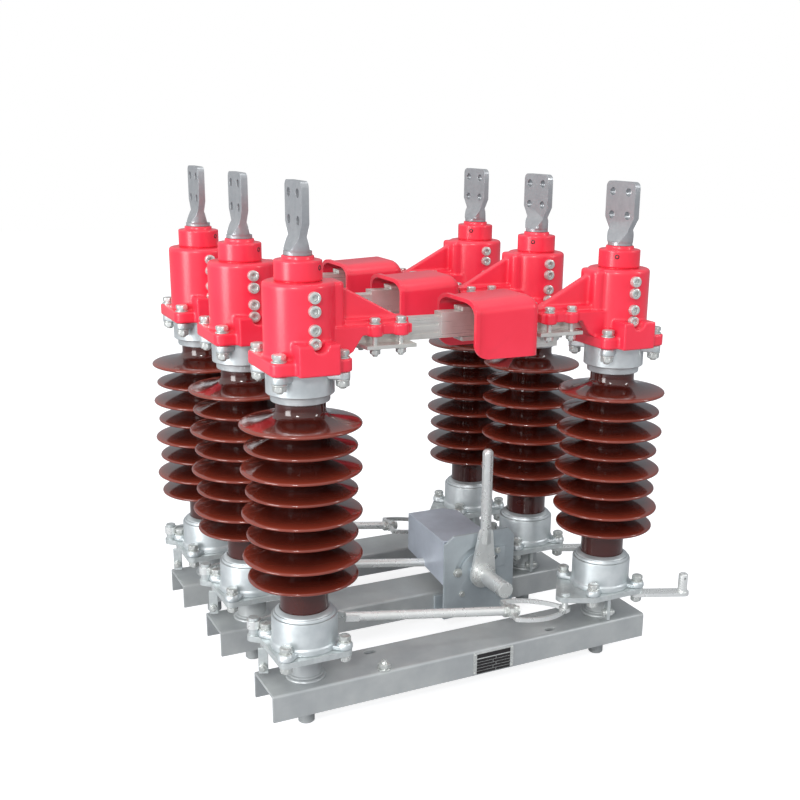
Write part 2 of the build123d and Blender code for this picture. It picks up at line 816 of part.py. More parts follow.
def drive_shaft():
    """The round shaft that the handle turns, with its collar behind the front plate."""
    back = mech_front + mech_wall + shaft_inside
    step = mech_front - hub_length - turning_gap - handle_plate_thickness - handle_collar_length
    body = Pos(0, (shaft_front + step) / 2, 0) * Rot(90, 0, 0) * Cylinder(shaft_radius, step - shaft_front)
    neck = Rot(90, 0, 0) * Cylinder(shaft_neck_radius, back - step)
    body += Pos(0, (back + step) / 2, 0) * neck
    washer = Rot(90, 0, 0) * Cylinder(shaft_neck_radius + 5, shaft_inside / 2)
    body += Pos(0, mech_front + mech_wall + turning_gap + shaft_inside / 4, 0) * washer
    return Pos(shaft_x, 0, web + shaft_z) * body


def handle():
    """The hand lever: a plate clamped round the shaft, with a round bar up from it."""
    back = mech_front - hub_length - turning_gap
    middle = back - handle_plate_thickness / 2
    neck = Pos(handle_rod_offset, handle_plate_reach) * Circle(handle_neck_radius)
    rollers = Sketch() + [Circle(handle_hub_radius), neck]
    outline = make_hull(rollers.edges())
    plate = Pos(0, back, 0) * extrude(Plane.XZ * outline, handle_plate_thickness)
    rod = post(handle_rod_radius, handle_rod_start, handle_reach, handle_rod_offset)
    rod = fillet(rod.edges().group_by(Axis.Z)[-1], handle_rod_radius * 0.8)
    body = plate + Pos(0, middle, 0) * rod
    collar = Rot(90, 0, 0) * Cylinder(handle_collar_radius, handle_collar_length)
    body += Pos(0, back - handle_plate_thickness - handle_collar_length / 2, 0) * collar
    body -= Pos(0, middle, 0) * Rot(90, 0, 0) * Cylinder(shaft_neck_radius, 60)
    return Pos(shaft_x, 0, web + shaft_z) * body


def save(name, shapes):
    """Write one node, as one solid or as several that share it."""
    shapes = shapes if isinstance(shapes, list) else [shapes]
    solids = [solid for shape in shapes for solid in shape.solids()]
    shape = solids[0] if len(solids) == 1 else Compound(children=solids)
    export_step(shape, f"parts/{name}.step")


os.makedirs("parts", exist_ok=True)

right = Pos(column_spacing, 0, 0)
blade_set = blade()
contact_set = [mirrored(piece) for piece in contact()]
cap_set = caps()
insulator = porcelain()
left_casting = arm_casting()
right_casting = mirrored(left_casting)
rain_hood = mirrored(hood())
tables = {"left": turntable("left"), "right": turntable("right")}
rod = link_rod()
lever = drive_lever()

for pole, (pole_x, pole_y) in poles.items():
    place = Pos(pole_x, pole_y, 0)
    ends = {"left": place, "right": place * right}
    palms = {"left": terminal(0.0), "right": terminal(palm_turns[pole])}
    castings = {"left": left_casting, "right": right_casting}
    save(f"base_channel_{pole}", place * base_channel())
    save(f"bearing_pedestals_{pole}", [place * pedestal(0.0), place * pedestal(column_spacing)])
    save(f"blade_{pole}", [place * piece for piece in blade_set])
    save(f"contact_{pole}", [ends["right"] * piece for piece in contact_set])
    save(f"rain_hood_{pole}", ends["right"] * rain_hood)
    save(f"link_rod_{pole}", place * rod)
    save(f"drive_lever_{pole}", ends["right"] * lever)
    if pole == "front":
        for side, end in ends.items():
            save(f"turntable_{pole}_{side}", end * tables[side])
            save(f"insulator_caps_{pole}_{side}", [end * cap for cap in cap_set])
            save(f"insulator_{pole}_{side}", end * insulator)
            save(f"arm_casting_{pole}_{side}", end * castings[side])
            save(f"terminal_{pole}_{side}", end * palms[side])
    else:
        save(f"turntables_{pole}", [ends[side] * tables[side] for side in ends])
        save(f"insulator_caps_{pole}", [ends[side] * cap for side in ends for cap in cap_set])
        save(f"insulators_{pole}", [ends[side] * insulator for side in ends])
        save(f"arm_castings_{pole}", [ends[side] * castings[side] for side in ends])
        save(f"terminals_{pole}", [ends[side] * palms[side] for side in ends])

save("pipe_coupling", Pos(*poles["middle"], 0) * right * clevis())
save("mechanism_bracket", mechanism_bracket())
save("mechanism_cover", mechanism_cover())
save("mechanism_shaft", drive_shaft())
save("mechanism_handle", handle())
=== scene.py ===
"""Looks of the three-pole disconnect switch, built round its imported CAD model.

Sizes are in millimetres until a mesh is made. Z is up, X runs along a pole and Y runs back.
"""

from math import cos, pi, radians, sin

import bmesh
import bpy
import numpy as np
from mathutils import Matrix


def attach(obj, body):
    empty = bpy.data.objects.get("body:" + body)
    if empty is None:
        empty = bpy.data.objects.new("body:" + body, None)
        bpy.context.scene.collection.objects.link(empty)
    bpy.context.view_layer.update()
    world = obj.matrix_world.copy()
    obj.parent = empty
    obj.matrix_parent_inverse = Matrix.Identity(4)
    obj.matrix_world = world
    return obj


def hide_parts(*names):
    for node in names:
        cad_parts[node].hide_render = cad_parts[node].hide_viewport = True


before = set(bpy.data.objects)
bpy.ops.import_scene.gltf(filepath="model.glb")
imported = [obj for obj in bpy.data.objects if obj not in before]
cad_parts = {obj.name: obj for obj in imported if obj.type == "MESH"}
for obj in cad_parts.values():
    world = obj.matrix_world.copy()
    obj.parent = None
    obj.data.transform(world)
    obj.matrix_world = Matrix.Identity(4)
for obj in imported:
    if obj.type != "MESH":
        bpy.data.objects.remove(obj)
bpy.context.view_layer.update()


# The view. The camera stands to the left of the front pole and looks down along it, as the
# photograph does, and its shift only puts the object where the photograph has it.
photo_width = 800
focal_pixels = 1097.04
centre_pixel = (483.3, 444.24)
camera_place = (-0.5704, -1.6063, 0.9823)
camera_yaw = radians(-29.35)
camera_pitch = radians(-15.98)
camera_roll = radians(1.63)

forward = np.array([
    -sin(camera_yaw) * cos(camera_pitch),
    cos(camera_yaw) * cos(camera_pitch),
    sin(camera_pitch),
])
level_right = np.cross(forward, [0, 0, 1])
level_right /= np.linalg.norm(level_right)
level_up = np.cross(level_right, forward)
right = level_right * cos(camera_roll) + level_up * sin(camera_roll)
up = level_up * cos(camera_roll) - level_right * sin(camera_roll)

camera_data = bpy.data.cameras.new("photo_camera")
camera_data.sensor_width = 36
camera_data.lens = focal_pixels / photo_width * camera_data.sensor_width
camera_data.shift_x = -(centre_pixel[0] - photo_width / 2) / photo_width
camera_data.shift_y = (centre_pixel[1] - photo_width / 2) / photo_width
camera = bpy.data.objects.new("photo_camera", camera_data)
bpy.context.scene.collection.objects.link(camera)
turn = Matrix((right, up, -forward)).transposed().to_4x4()
camera.matrix_world = Matrix.Translation(camera_place) @ turn
bpy.context.scene.camera = camera
bpy.context.scene.view_settings.view_transform = "Standard"


# The studio. A white surround that the camera sees as plain paper. What the parts reflect is bright to
# the front, left and above and greyer behind, and soft lamps draw the highlights on glaze and enamel.
def linear(colour):
    """An sRGB hex colour as linear light: each channel above 0.04045 is ((c + 0.055) / 1.055) ** 2.4."""
    channels = np.array([int(colour[i:i + 2], 16) for i in (1, 3, 5)]) / 255
    curved = ((channels + 0.055) / 1.055) ** 2.4
    return tuple(float(c) for c in np.where(channels > 0.04045, curved, channels / 12.92))


def add(tree, kind, settings=None, **sockets):
    """Adds one node with its settings, its values and its links, and returns it. A socket goes by its
    name, or by its place as in0, in1 and so on."""
    item = tree.nodes.new(kind)
    for key, value in (settings or {}).items():
        setattr(item, key, value)
    for key, value in sockets.items():
        name = key.replace("_", " ")
        numbered = name.startswith("in") and name[2:].isdigit()
        socket = item.inputs[int(name[2:])] if numbered else item.inputs[name]
        if isinstance(value, bpy.types.NodeSocket):
            tree.links.new(value, socket)
        elif isinstance(value, tuple) and len(value) == 3 and len(socket.default_value) == 4:
            socket.default_value = (*value, 1)
        else:
            socket.default_value = value
    return item


world = bpy.data.worlds.new("studio_sky")
world.use_nodes = True
tree = world.node_tree
sky_way = add(tree, "ShaderNodeTexCoord").outputs["Generated"]
brightest_way = (-0.62, -0.42, 0.66)
facing_light = add(tree, "ShaderNodeVectorMath", {"operation": "DOT_PRODUCT"}, in0=sky_way, in1=brightest_way)
brightness = add(tree, "ShaderNodeMapRange", Value=facing_light.outputs["Value"], From_Min=-0.75, From_Max=0.75)
graded = add(
    tree, "ShaderNodeMix", {"data_type": "RGBA"},
    in0=brightness.outputs["Result"], in6=linear("#7b8087"), in7=linear("#ffffff"),
)
seen = add(tree, "ShaderNodeLightPath").outputs["Is Camera Ray"]
sky = add(tree, "ShaderNodeMix", {"data_type": "RGBA"}, in0=seen, in6=graded.outputs[2], in7=linear("#ffffff"))
tree.links.new(sky.outputs[2], tree.nodes["Background"].inputs["Color"])
bpy.context.scene.world = world


def lamp(name, place, aim, size, power):
    """A rectangular soft lamp that looks at a point."""
    data = bpy.data.lights.new(name, "AREA")
    data.shape = "RECTANGLE"
    data.size, data.size_y = size
    data.energy = power
    lamp_object = bpy.data.objects.new(name, data)
    bpy.context.scene.collection.objects.link(lamp_object)
    away = np.array(place) - np.array(aim)
    away = away / np.linalg.norm(away)
    side = np.cross([0, 0, 1], away)
    side /= np.linalg.norm(side)
    top = np.cross(away, side)
    facing = Matrix((side, top, away)).transposed().to_4x4()
    lamp_object.matrix_world = Matrix.Translation(place) @ facing


lamp("key_lamp", (-1.7, -2.5, 2.1), (0.3, 0.2, 0.45), (0.45, 0.35), 38)
lamp("side_lamp", (2.6, -1.7, 1.9), (0.3, 0.2, 0.45), (0.35, 1.2), 16)
lamp("top_lamp", (0.3, 0.4, 3.1), (0.3, 0.25, 0.4), (1.8, 1.0), 11)
lamp("left_panel", (-2.7, -0.6, 1.0), (0.2, 0.2, 0.5), (1.2, 1.6), 54)


def material(name):
    """An empty material with one surface shader, which it returns with the tree."""
    made = bpy.data.materials.new(name)
    made.use_nodes = True
    return made, made.node_tree, made.node_tree.nodes["Principled BSDF"]


floor_paper, tree, shader = material("floor_paper")
seen = add(tree, "ShaderNodeLightPath").outputs["Is Camera Ray"]
paper_glow = 0.84
glow = add(tree, "ShaderNodeMath", {"operation": "MULTIPLY"}, in0=seen, in1=paper_glow)
tree.links.new(glow.outputs["Value"], shader.inputs["Emission Strength"])
shader.inputs["Base Color"].default_value = (*linear("#a8aaae"), 1)
shader.inputs["Roughness"].default_value = 0.9
shader.inputs["Emission Color"].default_value = (*linear("#ffffff"), 1)

floor_mesh = bpy.data.meshes.new("floor")
reach = 9.0
corners = [(-reach, -reach, 0), (reach, -reach, 0), (reach, reach, 0), (-reach, reach, 0)]
floor_mesh.from_pydata(corners, [], [(0, 1, 2, 3)])
floor_mesh.materials.append(floor_paper)
floor = bpy.data.objects.new("floor", floor_mesh)
bpy.context.scene.collection.objects.link(floor)


# The base channels. Rolled steel laid web up, sprayed silver grey, with oblong slots for the cross
# members. Their shape is the CAD's, taken as a copy whose edges are broken as paint breaks them.
column_spacing = 600.0
poles = {"front": (0.0, 0.0), "middle": (-9.5, 267.0), "rear": (-16.5, 508.5)}
web = 86.0


def finish(mesh_object, surface, body, nodes=(), sharp=35):
    """Gives an object its material, smooth shading between sharp edges and its body, and hides the CAD nodes it
    stands in for.
    """
    mesh = mesh_object.data
    mesh.materials.clear()
    mesh.materials.append(surface)
    mesh.polygons.foreach_set("use_smooth", np.ones(len(mesh.polygons), bool))
    mesh.set_sharp_from_angle(angle=radians(sharp))
    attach(mesh_object, body)
    if nodes:
        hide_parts(*nodes)
    return mesh_object


def broken_edges(node, surface, body, width=0.8, steps=2):
    """A copy of a CAD solid with its flat faces made whole and a small round along its sharp edges."""
    same_point, same_plane, crease = 1e-6, radians(0.4), 32
    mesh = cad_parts[node].data.copy()
    mesh.name = node + "_shape"
    work = bmesh.new()
    work.from_mesh(mesh)
    bmesh.ops.remove_doubles(work, verts=work.verts, dist=same_point)
    bmesh.ops.dissolve_limit(work, angle_limit=same_plane, verts=work.verts, edges=work.edges)
    work.to_mesh(mesh)
    work.free()
    item = bpy.data.objects.new(node + "_shape", mesh)
    bpy.context.scene.collection.objects.link(item)
    finish(item, surface, body, (node,), crease)
    edge = item.modifiers.new("broken_edges", "BEVEL")
    edge.width = width / 1000
    edge.segments = steps
    edge.limit_method = "ANGLE"
    edge.angle_limit = radians(crease)
    edge.harden_normals = True
    return item


def sprayed_steel(name, colour, dark, roughness):
    """Silver-grey paint sprayed over rolled steel: a fine orange peel, faint clouding and low gloss."""
    made, tree, shader = material(name)
    place = add(tree, "ShaderNodeTexCoord").outputs["Object"]
    cloud_mm, peel_mm = 71.43, 1.6
    cloud = add(tree, "ShaderNodeTexNoise", Vector=place, Scale=1000 / cloud_mm, Detail=4.0, Roughness=0.6)
    peel = add(tree, "ShaderNodeTexNoise", Vector=place, Scale=1000 / peel_mm, Detail=1.0)
    tone = add(tree, "ShaderNodeMapRange", Value=cloud.outputs["Fac"], From_Min=0.35, From_Max=0.65)
    mixed = add(
        tree, "ShaderNodeMix", {"data_type": "RGBA"},
        in0=tone.outputs["Result"], in6=linear(dark), in7=linear(colour),
    )
    tree.links.new(mixed.outputs[2], shader.inputs["Base Color"])
    gloss = add(
        tree, "ShaderNodeMapRange", Value=cloud.outputs["Fac"],
        From_Min=0.3, From_Max=0.7, To_Min=roughness - 0.05, To_Max=roughness + 0.07,
    )
    tree.links.new(gloss.outputs["Result"], shader.inputs["Roughness"])
    relief = add(tree, "ShaderNodeBump", Height=peel.outputs["Fac"], Strength=0.12, Distance=0.0003)
    tree.links.new(relief.outputs["Normal"], shader.inputs["Normal"])
    shader.inputs["Metallic"].default_value = 0.35
    return made


channel_paint = sprayed_steel("channel_paint", "#b8bcbc", "#a8acae", 0.4)
for pole in poles:
    broken_edges(f"base_channel_{pole}", channel_paint, "frame", 1.0)


# The bearing pedestals. Each is a turned steel housing welded to the web, painted with the channel,
# on a round stub that passes through to the floor.
def turned(profile, around=64, centre=(0.0, 0.0)):
    """A turned surface: each profile point (radius, height) swept round an upright axis. A radius may
    be a list with one for each direction. The first and last close to a point on the axis."""
    angles = np.linspace(0, 2 * pi, around, endpoint=False)
    radii = np.array([np.broadcast_to(radius, around) for radius, height in profile[1:-1]])
    heights = np.array([height for radius, height in profile], float)
    levels = np.repeat(heights[1:-1, None], around, 1)
    rings = np.stack([radii * np.cos(angles), radii * np.sin(angles), levels], -1)
    points = np.vstack([rings.reshape(-1, 3), [0, 0, heights[0]], [0, 0, heights[-1]]])
    points[:, :2] += centre
    rows, cols = np.meshgrid(np.arange(len(radii) - 1), np.arange(around), indexing="ij")
    after = (cols + 1) % around
    near, far = rows * around, (rows + 1) * around
    quads = np.stack([near + cols, near + after, far + after, far + cols], -1)
    foot, tip = len(points) - 2, len(points) - 1
    here = np.arange(around)
    ahead = (here + 1) % around
    low = np.stack([np.full(around, foot), ahead, here], -1)
    last_ring = (len(radii) - 1) * around
    high = np.stack([np.full(around, tip), last_ring + here, last_ring + ahead], -1)
    return points, quads.reshape(-1, 4).tolist() + low.tolist() + high.tolist()


def joined(shapes):
    """Several shapes as one: their points stacked, and each one's faces counted on from the last."""
    points, faces, count = [], [], 0
    for shape_points, shape_faces in shapes:
        points.append(np.asarray(shape_points, float))
        faces += [[index + count for index in face] for face in shape_faces]
        count += len(shape_points)
    return np.vstack(points), faces


def moved(shape, x=0.0, y=0.0, z=0.0, spin=0.0, tilt=0.0):
    """A shape tipped about X by tilt degrees, spun about Z by spin degrees, then carried to a place."""
    points, faces = shape
    t, s = radians(tilt), radians(spin)
    tip = np.array([[1, 0, 0], [0, cos(t), -sin(t)], [0, sin(t), cos(t)]])
    twirl = np.array([[cos(s), -sin(s), 0], [sin(s), cos(s), 0], [0, 0, 1]])
    return points @ (twirl @ tip).T + [x, y, z], faces


def handed(shape):
    """A shape mirrored along X, with its faces turned back outwards."""
    points, faces = shape
    return points * [-1, 1, 1], [list(reversed(face)) for face in faces]


def piece(name, shape, surface, body, nodes=(), sharp=35):
    """Makes a shape, given in millimetres, into a finished object."""
    points, faces = shape
    mesh = bpy.data.meshes.new(name)
    mesh.from_pydata((np.asarray(points) / 1000).tolist(), [], faces)
    mesh.validate()
    item = bpy.data.objects.new(name, mesh)
    bpy.context.scene.collection.objects.link(item)
    return finish(item, surface, body, nodes, sharp)


stub_radius = 14.0
pedestal_radius = 27.0
pedestal_top = web + 50.7
pedestal_profile = [
    (0, 0), (stub_radius - 1.5, 0), (stub_radius, 1.5), (stub_radius, web - 6), (stub_radius, web - 0.2),
    (33.5, web - 0.2), (34.0, web + 1.2), (33.0, web + 3.0), (30.5, web + 4.2), (29.0, web + 4.6),
    (30.2, web + 5.4), (30.6, web + 6.8), (29.6, web + 8.2), (pedestal_radius + 0.3, web + 9.2),
    (pedestal_radius, web + 11), (pedestal_radius, pedestal_top - 1), (pedestal_radius - 1, pedestal_top),
    (0, pedestal_top),
]
for pole, (pole_x, pole_y) in poles.items():
    pair = [turned(pedestal_profile, 48, (pole_x + x, pole_y)) for x in (0.0, column_spacing)]
    node = f"bearing_pedestals_{pole}"
    piece(f"pedestals_{pole}", joined(pair), channel_paint, "frame", (node,))


# The turntables. Steel plates flame-cut with four lugs, dipped in zinc, that carry the columns and
# the levers of the link rod. Copies of the CAD's solids, edges softened and raised to where they show.
def dipped_zinc(name, colour, dark, roughness=0.38, grain=0.2):
    """Hot-dipped zinc: patches of crystals some 6 mm across, a little duller and darker between."""
    made, tree, shader = material(name)
    place = add(tree, "ShaderNodeTexCoord").outputs["Object"]
    crystal_mm, cloud_mm = 6.0, 22.222
    crystals = add(tree, "ShaderNodeTexVoronoi", Vector=place, Scale=1000 / crystal_mm)
    cloud = add(tree, "ShaderNodeTexNoise", Vector=place, Scale=1000 / cloud_mm, Detail=5.0, Roughness=0.65)
    blend = add(
        tree, "ShaderNodeMath", {"operation": "MULTIPLY_ADD"},
        in0=crystals.outputs["Distance"], in1=0.2, in2=cloud.outputs["Fac"],
    )
    tone = add(tree, "ShaderNodeMapRange", Value=blend.outputs["Value"], From_Min=0.4, From_Max=0.85)
    mixed = add(
        tree, "ShaderNodeMix", {"data_type": "RGBA"},
        in0=tone.outputs["Result"], in6=linear(colour), in7=linear(dark),
    )
    tree.links.new(mixed.outputs[2], shader.inputs["Base Color"])
    gloss = add(
        tree, "ShaderNodeMapRange", Value=cloud.outputs["Fac"],
        From_Min=0.3, From_Max=0.7, To_Min=roughness - 0.08, To_Max=roughness + 0.1,
    )
    tree.links.new(gloss.outputs["Result"], shader.inputs["Roughness"])
    relief = add(tree, "ShaderNodeBump", Height=cloud.outputs["Fac"], Strength=grain, Distance=0.0004)
    tree.links.new(relief.outputs["Normal"], shader.inputs["Normal"])
    shader.inputs["Metallic"].default_value = 0.6
    return made


def reshaped(item, change, pole="front"):
    """Moves a copy's points: change takes and returns their x, y and z in millimetres, measured from
    the left column's axis of that pole."""
    mesh = item.data
    points = np.empty(len(mesh.vertices) * 3, np.float32)
    mesh.vertices.foreach_get("co", points)
    points = points.reshape(-1, 3).astype(float) * 1000 - [*poles[pole], 0]
    points = np.column_stack(change(*points.T)) + [*poles[pole], 0]
    mesh.vertices.foreach_set("co", (points / 1000).astype(np.float32).ravel())
    mesh.update()


plate_bottom, plate_lift = web + 40.0, 11.0


def lifted_plate(x, y, z):
    """Raises the plate to the level that shows: what hangs from it is drawn longer, and what stands on
    it shorter, in proportion to height."""
    solid_levels = [60, 92, 126, 138, 143, 158.7, 200]
    shown_levels = [60, 92, 137, 147, 152, 158.7, 200]
    return x, y, np.interp(z, solid_levels, shown_levels)


lug_zinc = dipped_zinc("lug_zinc", "#d3d8d8", "#b9c0c1")
for side in ("left", "right"):
    reshaped(broken_edges(f"turntable_front_{side}", lug_zinc, f"{side}_column", 1.2), lifted_plate)
for pole in ("middle", "rear"):
    reshaped(broken_edges(f"turntables_{pole}", lug_zinc, "frame", 1.2), lifted_plate)


# The end caps. Aluminium castings turned where they hold the porcelain, so the drum shows fine
# rings from the tool while the ears keep the cast skin.
def turned_aluminium(name, colour, dark):
    """Turned aluminium: rings up the drum with a soft satin shine, drawn 1.5 mm apart, which is coarser
    than a tool leaves them, so that they show."""
    made, tree, shader = material(name)
    place = add(tree, "ShaderNodeTexCoord").outputs["Object"]
    ring_mm, cloud_mm = 1.5, 33.333
    height = add(tree, "ShaderNodeSeparateXYZ", Vector=place)
    cloud = add(tree, "ShaderNodeTexNoise", Vector=place, Scale=1000 / cloud_mm, Detail=4.0)
    rings = add(
        tree, "ShaderNodeMath", {"operation": "MULTIPLY"}, in0=height.outputs["Z"], in1=2 * pi * 1000 / ring_mm,
    )
    wave = add(tree, "ShaderNodeMath", {"operation": "SINE"}, in0=rings.outputs["Value"])
    tone = add(tree, "ShaderNodeMapRange", Value=cloud.outputs["Fac"], From_Min=0.35, From_Max=0.7)
    mixed = add(
        tree, "ShaderNodeMix", {"data_type": "RGBA"},
        in0=tone.outputs["Result"], in6=linear(colour), in7=linear(dark),
    )
    tree.links.new(mixed.outputs[2], shader.inputs["Base Color"])
    bumps = add(
        tree, "ShaderNodeMath", {"operation": "MULTIPLY_ADD"},
        in0=wave.outputs["Value"], in1=0.25, in2=cloud.outputs["Fac"],
    )
    relief = add(tree, "ShaderNodeBump", Height=bumps.outputs["Value"], Strength=0.25, Distance=0.0003)
    tree.links.new(relief.outputs["Normal"], shader.inputs["Normal"])
    shader.inputs["Metallic"].default_value = 0.7
    shader.inputs["Roughness"].default_value = 0.42
    return made


def outline_of(rollers, around=40):
    """The line stretched round a ring of circles (x, y, radius): for each direction, the point of the
    circle that reaches furthest that way."""
    angles = np.linspace(0, 2 * pi, around, endpoint=False)
    ways = np.stack([np.cos(angles), np.sin(angles)], -1)
    rollers = np.array(rollers, float)
    reach = rollers[:, :2] @ ways.T + rollers[:, 2:]
    best = reach.argmax(0)
    return rollers[best, :2] + ways * rollers[best, 2:]


def slab(outline, low, high, edge=1.0, steps=3):
    """An upright slab on an outline that runs anticlockwise, with both rims rounded by edge: each ring
    is the outline drawn in along its normals."""
    outline = np.asarray(outline, float)
    ahead = np.roll(outline, -1, 0) - outline
    behind = outline - np.roll(outline, 1, 0)
    tangent = ahead / np.maximum(np.linalg.norm(ahead, axis=1, keepdims=True), 1e-9)
    tangent += behind / np.maximum(np.linalg.norm(behind, axis=1, keepdims=True), 1e-9)
    tangent /= np.maximum(np.linalg.norm(tangent, axis=1, keepdims=True), 1e-9)
    inward = np.stack([-tangent[:, 1], tangent[:, 0]], -1)
    quarter = np.linspace(0, pi / 2, steps + 1)
    insets = np.concatenate([edge * (1 - np.sin(quarter)), edge * (1 - np.cos(quarter))])
    levels = np.concatenate([low + edge * (1 - np.cos(quarter)), high - edge * (1 - np.sin(quarter))])
    rings = outline[None] + inward[None] * insets[:, None, None]
    points = np.concatenate([rings, np.repeat(levels[:, None, None], len(outline), 1)], -1).reshape(-1, 3)
    count, rows = len(outline), len(insets)
    i, j = np.meshgrid(np.arange(rows - 1), np.arange(count), indexing="ij")
    after = (j + 1) % count
    near, far = i * count, (i + 1) * count
    quads = np.stack([near + j, near + after, far + after, far + j], -1)
    base = list(range(count - 1, -1, -1))
    top = [(rows - 1) * count + k for k in range(count)]
    return points, quads.reshape(-1, 4).tolist() + [base, top]


plate_top = web + 52.0
cap_top = plate_top + 480.0
lug = 51.0
lug_places = [(lug, lug), (-lug, lug), (-lug, -lug), (lug, -lug)]


def ear(angle, reach, radius, low, high, edge=2.0):
    """A lug that points out from the axis at an angle, with a round end."""
    a = radians(angle)
    inner = reach * 0.45
    rollers = [(inner * cos(a), inner * sin(a), radius * 1.25), (reach * cos(a), reach * sin(a), radius)]
    return slab(outline_of(rollers, 36), low, high, edge)


ear_reach = lug * 2 ** 0.5
cap_foot = plate_bottom + plate_lift + 10.0
lower_drum = [
    (0, 0), (56.5, 0), (57.5, 1), (57.5, 8.5), (56.8, 10.2), (55.3, 11.6), (55, 13), (55, 53.6), (54.4, 55.3),
    (52.8, 56.1), (51.5, 56.3), (51.1, 57.4), (50.9, 59.2), (50.1, 60.5), (48.6, 60.9), (48.1, 62.0), (47, 62.9),
    (43.4, 65.9), (41.4, 66.9), (40.5, 66.2), (0, 66.2),
]
upper_drum = [
    (0, 1.5), (42.0, 1.5), (44.5, 0), (46.4, 0.8), (47, 2.5), (47, 10.5), (48, 12), (52.4, 12.5), (54, 14),
    (54, 50.8), (53, 52), (0, 52),
]
boss = [(0, 3), (13.3, 3), (13.1, 8.6), (11.6, 11.2), (10.9, 12), (0, 12)]
upper_drum_height = 52.0
lower_cap = [moved(turned(lower_drum, 80), z=cap_foot)]
upper_cap = [moved(turned(upper_drum, 80), z=cap_top - upper_drum_height)]
for x, y in lug_places:
    lower_cap.append(moved(turned(boss, 40), x, y, cap_foot))
for angle in (45, 135, 225, 315):
    lower_cap.append(ear(angle, ear_reach, 12.5, cap_foot + 0.1, cap_foot + 8))
    upper_cap.append(ear(angle, ear_reach, 12.0, cap_top - 12, cap_top - 0.1))
cap_pair = joined(lower_cap + upper_cap)
cap_metal = turned_aluminium("cap_metal", "#d6dcde", "#bfc7ca")


def on_poles(names, shapes, surface, nodes=None, sharp=35):
    """Puts a left and a right column's shapes on every pole: two pieces that turn with the front pole's
    columns, and one fixed piece for each pole behind. Names and nodes each give the word for a single
    piece and the word for a pair."""
    made = []
    for side, shape in zip(("left", "right"), shapes):
        node = (f"{nodes[0]}_front_{side}",) if nodes else ()
        made.append(piece(f"{names[0]}_front_{side}", shape, surface, f"{side}_column", node, sharp))
    for pole in ("middle", "rear"):
        node = (f"{nodes[1]}_{pole}",) if nodes else ()
        pair = joined([moved(shape, *poles[pole]) for shape in shapes])
        made.append(piece(f"{names[1]}_{pole}", pair, surface, "frame", node, sharp))
    return made


caps_nodes = ("insulator_caps", "insulator_caps")
on_poles(("end_caps", "end_caps"), [cap_pair, moved(cap_pair, column_spacing)], cap_metal, caps_nodes)


# The insulators. Wet-process porcelain turned on a lathe and dipped in brown glaze, with sheds that
# alternate large and small so that rain drips clear.
core_radius = 40.0
shed_pitch = 36.85
top_rim = cap_top - 87.5
large_shed, small_shed = 97.5, 90.5
shed_shape = [
    (0.00, 21.0), (0.02, 17.0), (0.07, 13.6), (0.18, 10.6), (0.34, 8.2), (0.55, 5.6), (0.76, 3.2), (0.90, 1.6),
    (0.965, 0.6), (0.992, -0.6), (1.0, -2.0), (0.992, -3.4), (0.96, -4.6), (0.90, -4.9), (0.74, -4.3),
    (0.50, -3.9), (0.30, -4.4), (0.14, -5.8), (0.05, -8.0), (0.01, -11.0),
]


def porcelain_profile():
    """Radius and height from the foot up. A shed reaches from the core by its share of the overhang."""
    points = [(0, plate_top + 58), (core_radius, plate_top + 58), (core_radius, plate_top + 76)]
    points.append((core_radius, plate_top + 104))
    for index in range(7, -1, -1):
        rim = top_rim - index * shed_pitch
        overhang = (small_shed if index % 2 else large_shed) - core_radius
        points += [(core_radius + share * overhang, rim + rise) for share, rise in reversed(shed_shape)]
    points += [(core_radius, cap_top - 56), (core_radius, cap_top - 45), (0, cap_top - 45)]
    return points


def glazed_porcelain(name):
    """Brown glaze over porcelain: nearly mirror smooth, dark where it lies thick and redder where it
    has run thin at the rims, which the mesh's own rim attribute marks."""
    made, tree, shader = material(name)
    place = add(tree, "ShaderNodeTexCoord").outputs["Object"]
    thin = add(tree, "ShaderNodeAttribute", {"attribute_name": "rim"})
    drift_mm, ripple_mm = 45.455, 16.667
    drift = add(tree, "ShaderNodeTexNoise", Vector=place, Scale=1000 / drift_mm, Detail=3.0)
    amount = add(
        tree, "ShaderNodeMath", {"operation": "MULTIPLY_ADD", "use_clamp": True},
        in0=drift.outputs["Fac"], in1=0.3, in2=thin.outputs["Fac"],
    )
    mixed = add(
        tree, "ShaderNodeMix", {"data_type": "RGBA"},
        in0=amount.outputs["Value"], in6=linear("#2a0c0a"), in7=linear("#7a3022"),
    )
    tree.links.new(mixed.outputs[2], shader.inputs["Base Color"])
    ripple = add(tree, "ShaderNodeTexNoise", Vector=place, Scale=1000 / ripple_mm, Detail=1.0)
    relief = add(tree, "ShaderNodeBump", Height=ripple.outputs["Fac"], Strength=0.08, Distance=0.0008)
    tree.links.new(relief.outputs["Normal"], shader.inputs["Normal"])
    shader.inputs["Roughness"].default_value = 0.14
    shader.inputs["IOR"].default_value = 1.5
    shader.inputs["Coat Weight"].default_value = 0.5
    shader.inputs["Coat Roughness"].default_value = 0.03
    return made


insulator_shape = turned(porcelain_profile(), 96)
brown_glaze = glazed_porcelain("brown_glaze")


def mark_rims(item):
    """Stores how near each point is to a shed's rim, as the square of its share of the way out from
    near the core, with its radius taken from the nearest column's axis."""
    near_core, near_rim = 55, 97
    axes = [(pole_x + x, pole_y) for pole_x, pole_y in poles.values() for x in (0.0, column_spacing)]
    mesh = item.data
    points = np.empty(len(mesh.vertices) * 3, np.float32)
    mesh.vertices.foreach_get("co", points)
    points = points.reshape(-1, 3) * 1000
    radius = np.min([np.hypot(points[:, 0] - x, points[:, 1] - y) for x, y in axes], 0)
    share = np.clip((radius - near_core) / (near_rim - near_core), 0, 1) ** 2
    store = mesh.attributes.new("rim", "FLOAT", "POINT")
    store.data.foreach_set("value", share.astype(np.float32))


